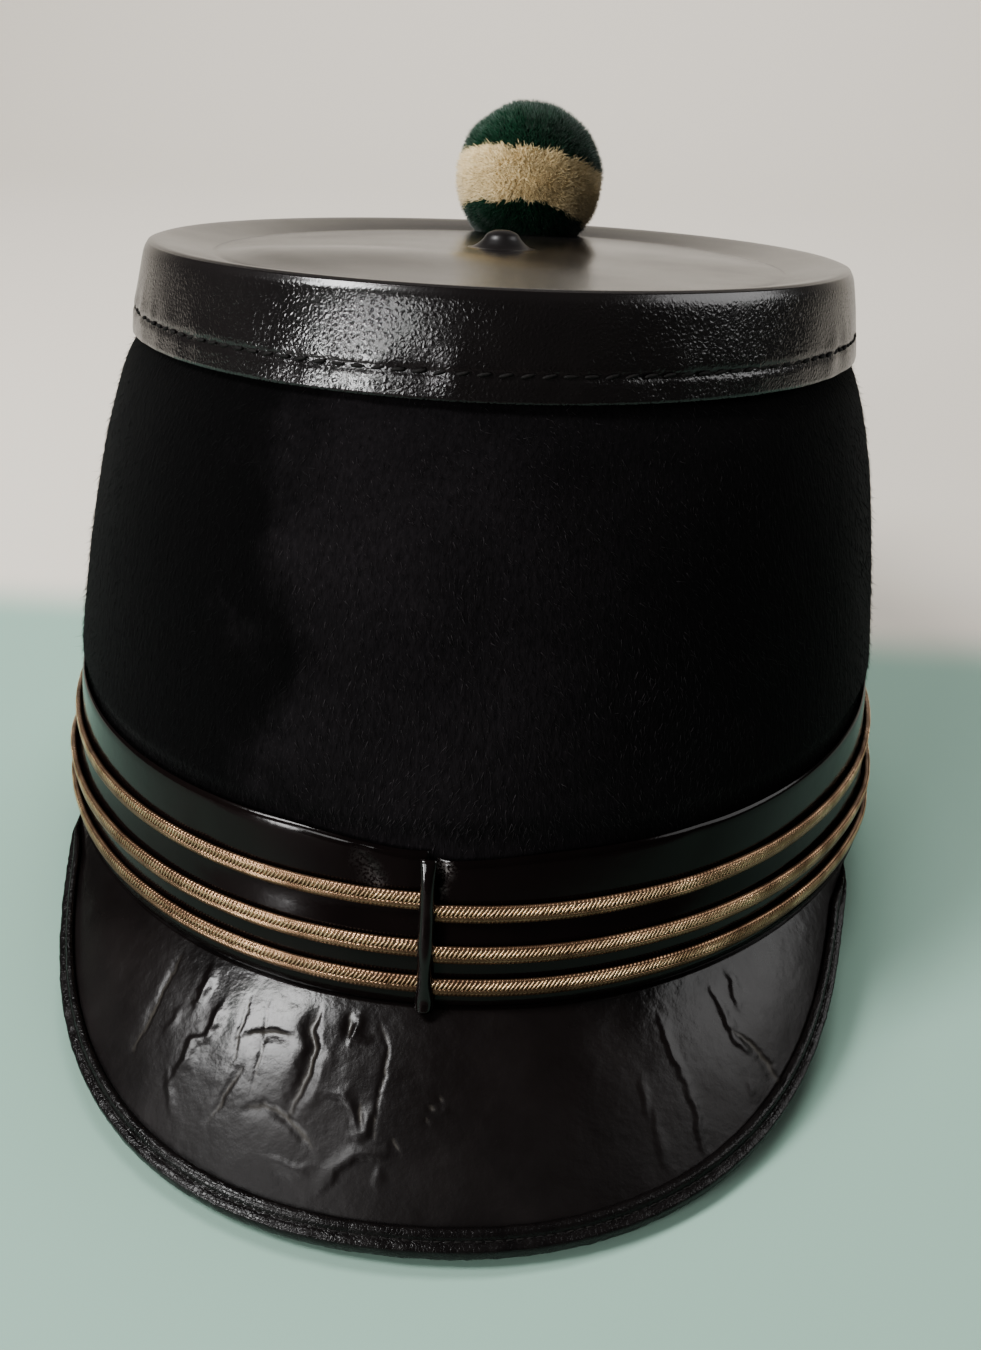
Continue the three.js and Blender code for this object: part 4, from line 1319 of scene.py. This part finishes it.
def distance_to_line(pixels, path):
    """The nearest distance from each point to a line of points, and on which side of it they lie."""
    nearest = np.full(pixels.shape[:-1], 1e9)
    side = np.zeros_like(nearest)
    fade = np.zeros_like(nearest)
    lengths = [math.dist(start, end) for start, end in zip(path, path[1:])]
    done = 0
    for start, end, length in zip(path, path[1:], lengths):
        run = np.subtract(end, start)
        away = pixels - np.array(start)
        part = np.clip((away @ run) / length ** 2, 0, 1)
        gap = np.linalg.norm(away - part[..., None] * run, axis=-1)
        closer = gap < nearest
        nearest = np.where(closer, gap, nearest)
        side = np.where(closer, np.sign(run[0] * away[..., 1] - run[1] * away[..., 0]), side)
        share = (done + part * length) / sum(lengths)
        fade = np.where(closer, np.sin(np.pi * (0.08 + 0.84 * share)) ** 0.7, fade)
        done += length
    return nearest, side, fade


def folds_at(points):
    """Height of the folds at points of the peak, in millimetres, and a mask of the cracked lacquer."""
    pixels, away = photo_pixels(to_rest(points))
    for size, push in RAGGED:
        ragged = [unevenness(points, size, 1.7), unevenness(points, size, 8.1)]
        pixels = pixels + push * np.stack(ragged, axis=-1)
    height = np.zeros(pixels.shape[:-1])
    mask = np.zeros_like(height)
    per_pixel = away / MM / FOCAL_PIXELS
    for wide, deep, path in FOLDS:
        nearest, side, fade = distance_to_line(pixels, path)
        gap = nearest * per_pixel / (FOLD_WIDTH * wide)
        flank = np.where(side * deep > 0, SOFT_FLANK, STEEP_FLANK)
        height -= FOLD_DEPTH * deep * np.exp(-(gap / flank) ** 2) * fade
        mask = np.maximum(mask, np.exp(-(CRACK_THIN * gap) ** 2) * fade * (deep > 0))
    return height, mask


# %% [markdown]
# Between the marked folds the lacquer is gently buckled all over. A slow unevenness along the slope,
# stronger where the peak bends most, gives the long soft highlights that the photograph shows.

# %% Peak
PEAK_TURNS = 720
PEAK_ROWS = 96
PEAK_BUCKLE = 0.12
PEAK_BUCKLE_LAYERS = ((1, 9, 4.4), (0.25, 4, 6.1))
FOLD_LIMIT = 0.9
PEAK_UNDER_STEP = 7
FLANGE_TAPER = 0.6


def peak_leather_piece():
    turn = np.linspace(-PEAK_SPREAD, PEAK_SPREAD, PEAK_TURNS)[:, None]
    width = np.maximum(bare_width(turn), GAP)
    share = np.linspace(0, 1, PEAK_ROWS)[None, :] + 0 * turn
    out, down, fall = peak_section(turn + 0 * share, share, width)
    surface = beside_rim(turn, PEAK_ROOT + out, -GAP - down)
    folds, mask = folds_at(surface)
    buckle = layered(surface * np.array([1, 0.45, 0.45]), *PEAK_BUCKLE_LAYERS)
    free = smooth(share * 6) * smooth((1 - share) * width / 5)
    raised = free * (folds + PEAK_BUCKLE * buckle * smooth(width / 12))
    raised = np.clip(raised, -FOLD_LIMIT, FOLD_LIMIT)
    upper_out = PEAK_ROOT + out + raised * np.sin(fall)
    upper_z = -GAP - down + raised * np.cos(fall)
    under = slice(None, None, -PEAK_UNDER_STEP)
    lower_out = PEAK_ROOT + out[:, under] - PEAK_LEATHER * np.sin(fall[:, under])
    lower_z = -GAP - down[:, under] - PEAK_LEATHER * np.cos(fall[:, under])
    lower_out[:, -1] = np.maximum(lower_out[:, -1], 2 * GAP)
    flange_top = FLANGE_HEIGHT * (1 - FLANGE_TAPER * smooth(np.abs(turn) / PEAK_SPREAD))
    level = np.ones_like(turn)
    heel_z = (lower_z[:, -1:] - GAP) / 2
    flange_out = np.hstack([GAP * level, GAP * level, (GAP + FLANGE_LEATHER) * level])
    flange_z = np.hstack([heel_z, flange_top, flange_top])
    foot_out = (GAP + FLANGE_LEATHER) * level
    section_out = np.hstack([upper_out, lower_out, flange_out, foot_out])
    section_z = np.hstack([upper_z, lower_z, flange_z, -GAP * level])
    points = beside_rim(turn, section_out, section_z)
    crack = np.zeros(points.shape[:2])
    crack[:, :PEAK_ROWS] = mask * free
    worn = np.ones(points.shape[:2])
    worn[:, :PEAK_ROWS] = smooth((share - 0.1) / 0.75)
    return grid_mesh("peak_leather", points, leather["peak"], crack=crack, worn=worn)


peak_piece = peak_leather_piece()

# %% [markdown]
# ## The peak's binding
# A strip of thin leather is rolled over the peak's edge and sewn down. Two ridges run along its upper
# side with the stitches in the groove between them, and the leather gathers into small wrinkles as it
# goes round the curve.

# %% Binding
BINDING_COVER = 3.3
BINDING_SHARE = 0.55
BINDING_GROOVE = 0.42
BINDING_SPREAD = 0.95
BINDING_TAPER = math.radians(6)
BINDING_TURNS = 560
BINDING_WRINKLE = 0.1
BINDING_WRINKLE_LAYERS = ((1, 1.3, 9.9), (0.7, 3.4, 2.2))
BINDING_MIDDLE = (-0.4, 0.0)
BINDING_STITCH_COUNT = 150
SEAM_STEPS = 700


def binding_section(cover):
    """The strip's outer face round the peak's edge: how far onward and how far up."""
    slot = PEAK_LEATHER / 2 + GAP
    face = slot + BINDING_LEATHER
    nose = GAP + BINDING_LEATHER
    outer = [
        (-cover, -slot - 0.25), (-cover + 0.35, -face), (0, -face), (nose * 0.8, -slot * 0.85),
        (nose, 0), (nose * 0.82, slot * 0.8), (GAP * 0.5, face), (-cover * 0.22, face - 0.12),
        (-cover * 0.4, face - BINDING_GROOVE), (-cover * 0.58, face - 0.12), (-cover * 0.76, face - 0.02),
        (-cover * 0.93, face - 0.3), (-cover, slot + 0.2),
    ]
    inner = [(-cover, slot), (GAP, slot), (GAP, -slot), (-cover, -slot)]
    return np.vstack([smooth_path(outer, 4), inner])


def binding_cover(turn):
    return np.minimum(BINDING_COVER, bare_width(turn) * BINDING_SHARE)


def on_edge(turn, onward, up):
    """A point beside the peak's edge, measured along and square to the leather there."""
    turn, onward, up = np.broadcast_arrays(turn, onward, up)
    out, down, fall = peak_section(turn, np.ones_like(turn), bare_width(turn))
    rise = up - PEAK_LEATHER / 2
    return beside_rim(
        turn,
        PEAK_ROOT + out + onward * np.cos(fall) + rise * np.sin(fall),
        -GAP - down - onward * np.sin(fall) + rise * np.cos(fall),
    )


def peak_binding():
    limit = PEAK_SPREAD * BINDING_SPREAD
    turn = np.linspace(-limit, limit, BINDING_TURNS)
    section = np.stack([binding_section(cover) for cover in binding_cover(turn)])
    points = on_edge(turn[:, None], section[..., 0], section[..., 1])
    middle = np.array(BINDING_MIDDLE)
    spread = section - middle
    spread /= np.maximum(np.linalg.norm(spread, axis=-1, keepdims=True), 0.3)
    outer = np.arange(section.shape[1]) < section.shape[1] - 4
    wrinkle = layered(points, *BINDING_WRINKLE_LAYERS)
    push = BINDING_WRINKLE * wrinkle * outer * (section[..., 1] > -0.8)
    section = section + spread * push[..., None]
    taper = 0.35 + 0.65 * smooth((limit - np.abs(turn)) / BINDING_TAPER)
    section = middle + (section - middle) * taper[:, None, None]
    points = on_edge(turn[:, None], section[..., 0], section[..., 1])
    return grid_mesh("binding_strip", points, leather["binding"])


def edge_seam(onward_share, up, limit):
    """A seam's path along the binding, with the direction out of the leather."""
    turn = np.linspace(-limit, limit, SEAM_STEPS)
    onward = -binding_cover(turn) * onward_share
    low = on_edge(turn, onward, up)
    return low, on_edge(turn, onward, up + 1) - low


binding_strip = peak_binding()
groove_up = PEAK_LEATHER / 2 + GAP + BINDING_LEATHER - BINDING_GROOVE
binding_stitches = sew(
    "binding_stitches", *edge_seam(0.4, groove_up, PEAK_SPREAD * 0.84), False,
    Count=BINDING_STITCH_COUNT, Length=1.3, Thickness=0.36, Slant=0.0, Sink=0.02, Jitter=0.1, Seed=8,
    Material=cloth["thread"],
)

# %% [markdown]
# ## The pompom
# The pompom is wool trimmed to a ball, dark green with a cream stripe that slopes down to one side.
# The stripe's edge is ragged because whole tufts belong to one colour or the other. A ball is cut into
# the two colours face by face, and short strands grow out of both.

# %% Pompom
POMPOM_BACK = 61.5
POMPOM_SIDE = 2.2
POMPOM_RADIUS = 17.1
POMPOM_HEIGHT = 29
POMPOM_LEAN_BACK = math.radians(18)
POMPOM_LEAN_SIDE = math.radians(6)
STRIPE_HEIGHT = 11
STRIPE_LOW = 2.6
STRAND_LENGTH = 2.3
STRAND_SHOWN = 0.62
LUMP_RADIUS = 17
BALL_LEVELS = 6
LUMPS = ((0.45, 5.5, 3.0), (0.25, 2.2, 6.0))
TUFTS = ((0.9, 2.6, 11.0), (0.7, 1.1, 13.0))

disc_reach = crown_half[1] - RING_WIDTH
pompom_seat = lean(POMPOM_SIDE, POMPOM_BACK, disc_height(POMPOM_BACK / disc_reach))
pompom_centre = pompom_seat + np.array([0, 0, GAP + POMPOM_HEIGHT - POMPOM_RADIUS])
stripe_axis = np.array(
    Matrix.Rotation(POMPOM_LEAN_SIDE, 3, "Y")
    @ Matrix.Rotation(-POMPOM_LEAN_BACK, 3, "X")
    @ Vector((0, 0, 1))
)


def cap_surface(x, y):
    """The cap's upper surface under a point, near the back of the crown."""
    straight_y = y - LEAN_BACK
    reach = np.hypot((x - LEAN_SIDE) / crown_half[0], straight_y / crown_half[1])
    inner = np.min((crown_half - RING_WIDTH) / crown_half)
    slope = np.clip((reach - inner) / (1 - inner), 0, 1)
    tilt = -math.tan(CROWN_PITCH) * straight_y - math.tan(CROWN_ROLL) * x
    return HAT_HEIGHT - RING_DROP * (1 - slope) + DISC_RISE * (1 - (reach / inner) ** 2) * (slope == 0) + tilt


def wool_ball():
    """The ball that the wool grows from: lumpy, and flat where it rests on the crown."""
    bpy.ops.mesh.primitive_ico_sphere_add(subdivisions=BALL_LEVELS, radius=1)
    ball = bpy.context.active_object
    mesh = ball.data
    places = np.empty(len(mesh.vertices) * 3)
    mesh.vertices.foreach_get("co", places)
    direction = places.reshape(-1, 3)
    faces = np.array([list(face.vertices) for face in mesh.polygons])
    bpy.data.objects.remove(ball)
    bpy.data.meshes.remove(mesh)
    lumps = layered(direction * LUMP_RADIUS, *LUMPS)
    core = POMPOM_RADIUS - STRAND_LENGTH * STRAND_SHOWN
    points = pompom_centre + direction * (core + lumps)[:, None]
    floor = cap_surface(points[:, 0], points[:, 1]) + GAP
    low = points[:, 2] < floor
    points[:, 2] = np.where(low, floor, points[:, 2])
    return direction, faces, points, low


def wool_piece(name, colour, chosen, points, faces, low, seed):
    """The part of the ball that has one colour, with its strands."""
    kept = faces[chosen]
    used, numbered = np.unique(kept, return_inverse=True)
    mesh = bpy.data.meshes.new(name)
    mesh.from_pydata(to_rest(points[used]), [], numbered.reshape(-1, 3).tolist())
    mark(mesh, nap=1.0 - low[used].astype(float), lay=np.zeros((len(used), 3)))
    mesh.shade_smooth()
    base = put_in_scene(name, mesh, cloth[colour])
    tufts = grow(
        name.replace("core", "strands"), base, Density=13, Length=STRAND_LENGTH, Radius=0.17,
        Stand=1.0, Mess=0.4, Seed=seed, Material=cloth[colour],
    )
    return base, tufts


def pompom():
    direction, faces, points, low = wool_ball()
    middles = points[faces].mean(axis=1) - pompom_centre
    height = middles @ stripe_axis + STRIPE_LOW
    cream = np.abs(height + layered(middles, *TUFTS)) < STRIPE_HEIGHT / 2
    green_parts = wool_piece("green_wool_core", "green", ~cream, points, faces, low, 21)
    cream_parts = wool_piece("cream_wool_core", "cream", cream, points, faces, low, 22)
    return green_parts, cream_parts


green_wool, cream_wool = pompom()

# %% [markdown]
# ## The pin
# A steel pin holds the pompom through the crown. Only its head shows, from inside the hat, so the
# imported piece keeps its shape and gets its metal.

# %% Pin
pin = frame["nodes"]["pompom_pin"]
pin.data.materials.clear()
pin.data.materials.append(cloth["steel"])

# %% [markdown]
# ## Which piece stands for which node
# Stitches and strands are extra, so they replace nothing.

# %% Rides and replacements
def dress(piece, node):
    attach(piece, "root")
    if node:
        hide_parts(node)


dress(felt_shell, "felt_body")
dress(felt_nap, None)
dress(felt_stray, None)
dress(cap_leather, "crown_cap")
dress(cap_stitches, None)
dress(band_leather, "base_band")
for level, (cords, threads) in braids.items():
    dress(cords, f"gold_braid_{level}")
    dress(threads, None)
dress(keeper, "keeper")
dress(peak_piece, "peak")
dress(binding_strip, "peak_binding")
dress(binding_stitches, None)
dress(green_wool[0], "pompom_green")
dress(green_wool[1], None)
dress(cream_wool[0], "pompom_cream")
dress(cream_wool[1], None)

# %% [markdown]
# ## Floor, backdrop and light
# A plain pale sweep runs back from the hat and turns up into a wall, so that nothing in the view has a
# hard edge. Painted shade darkens it in front of the view, where the glossy peak would mirror too much
# of it, and the wall is painted darker towards its top as if the light fell off there. A soft window
# stands high on the left with a lower one beside it, and weaker lights fill the front and the right.
# Dark lacquer shows what it mirrors, so two lights are kept out of its mirror, and a card at the right
# is seen there only.

# %% Floor and backdrop
FLOOR_HALF = 1.6
WALL_AT = 0.7
WALL_CURVE = 0.5
WALL_HEIGHT = 1.8
CLOTH_FADE = (0.07, 0.1)
SHADE_FADE = (-0.14, -0.22)
WALL_SHADE_FADE = (0.22, 0.7)
FLOOR_COLOUR = (0.27, 0.40, 0.335)
SHADE_COLOUR = (0.13, 0.11, 0.105)
WALL_LOW = (0.66, 0.615, 0.55)
WALL_TOP_SHADE = (0.2, 0.19, 0.18)


def sweep_material():
    finish = Finish("studio_sweep", Roughness=0.75)
    split = add_node(finish.tree, "ShaderNodeSeparateXYZ", {0: finish.place}).outputs
    # The wall is painted darker towards its top: painted shade of the light falling off.
    above = smooth_range(finish.tree, split["Z"], *WALL_SHADE_FADE)
    beyond = smooth_range(finish.tree, split["Y"], *CLOTH_FADE)
    # In front of the hat the floor is painted dark: painted shade, so that the glossy peak mirrors darkness.
    before = smooth_range(finish.tree, split["Y"], *SHADE_FADE)
    wall = finish.blend(above, WALL_LOW, WALL_TOP_SHADE)
    finish.colour(before, finish.blend(beyond, FLOOR_COLOUR, wall), SHADE_COLOUR)
    return finish.material


def studio_sweep():
    bend = np.linspace(0, math.pi / 2, 13)
    side = [(-FLOOR_HALF, 0.0)]
    side += [(WALL_AT + WALL_CURVE * math.sin(a), WALL_CURVE * (1 - math.cos(a))) for a in bend]
    side.append((WALL_AT + WALL_CURVE, WALL_HEIGHT))
    places = [(x, y, z) for y, z in side for x in (-FLOOR_HALF, FLOOR_HALF)]
    faces = [(2 * at, 2 * at + 1, 2 * at + 3, 2 * at + 2) for at in range(len(side) - 1)]
    mesh = bpy.data.meshes.new("studio_sweep")
    mesh.from_pydata(places, [], faces)
    mesh.shade_smooth()
    put_in_scene("studio_sweep", mesh, sweep_material())


studio_sweep()

# %% Lights
# Each light's place, the point that it looks at, its size and its power in watts.
LIGHTS = {
    "window": ((-0.6, -0.22, 0.9), (0, 0, 0.05), (0.25, 0.46), 9.6),
    "window_low": ((-0.75, -0.75, 0.2), (0, 0, 0.08), (0.2, 0.34), 6.0),
    "front_fill": ((-0.55, -0.85, 0.5), (0, 0, 0.06), (0.4, 0.4), 3.5),
    "right_fill": ((0.8, -0.05, 0.9), (0, 0, 0.05), (0.8, 0.8), 0.9),
    "right_card": ((1.0, 0.08, 0.72), (0, 0, 0.05), (0.9, 0.8), 6.5),
    "backdrop": ((0.1, 0.55, 1.4), (0, 0.8, 0), (1.0, 0.5), 17.0),
}
ONLY_MIRRORED = ("right_card",)
NEVER_MIRRORED = ("backdrop", "right_fill")
SKY = (0.8, 0.79, 0.76)
SKY_STRENGTH = 0.12


def area_light(name, place, aim, size, watts):
    data = bpy.data.lights.new(name, "AREA")
    data.shape = "ELLIPSE"
    data.size, data.size_y = size
    data.energy = watts
    light = bpy.data.objects.new(name, data)
    light.location = place
    light.rotation_euler = (Vector(aim) - light.location).to_track_quat("-Z", "Y").to_euler()
    light.visible_glossy = name not in NEVER_MIRRORED
    light.visible_diffuse = name not in ONLY_MIRRORED
    bpy.context.scene.collection.objects.link(light)


for name, row in LIGHTS.items():
    area_light(name, *row)
world = bpy.data.worlds.new("studio_sky")
world.use_nodes = True
sky = world.node_tree.nodes["Background"].inputs
sky["Color"].default_value = (*SKY, 1)
sky["Strength"].default_value = SKY_STRENGTH
bpy.context.scene.world = world
view = bpy.context.scene.view_settings
view.view_transform = "AgX"
view.look = "AgX - Medium High Contrast"
print("lights:", list(LIGHTS))
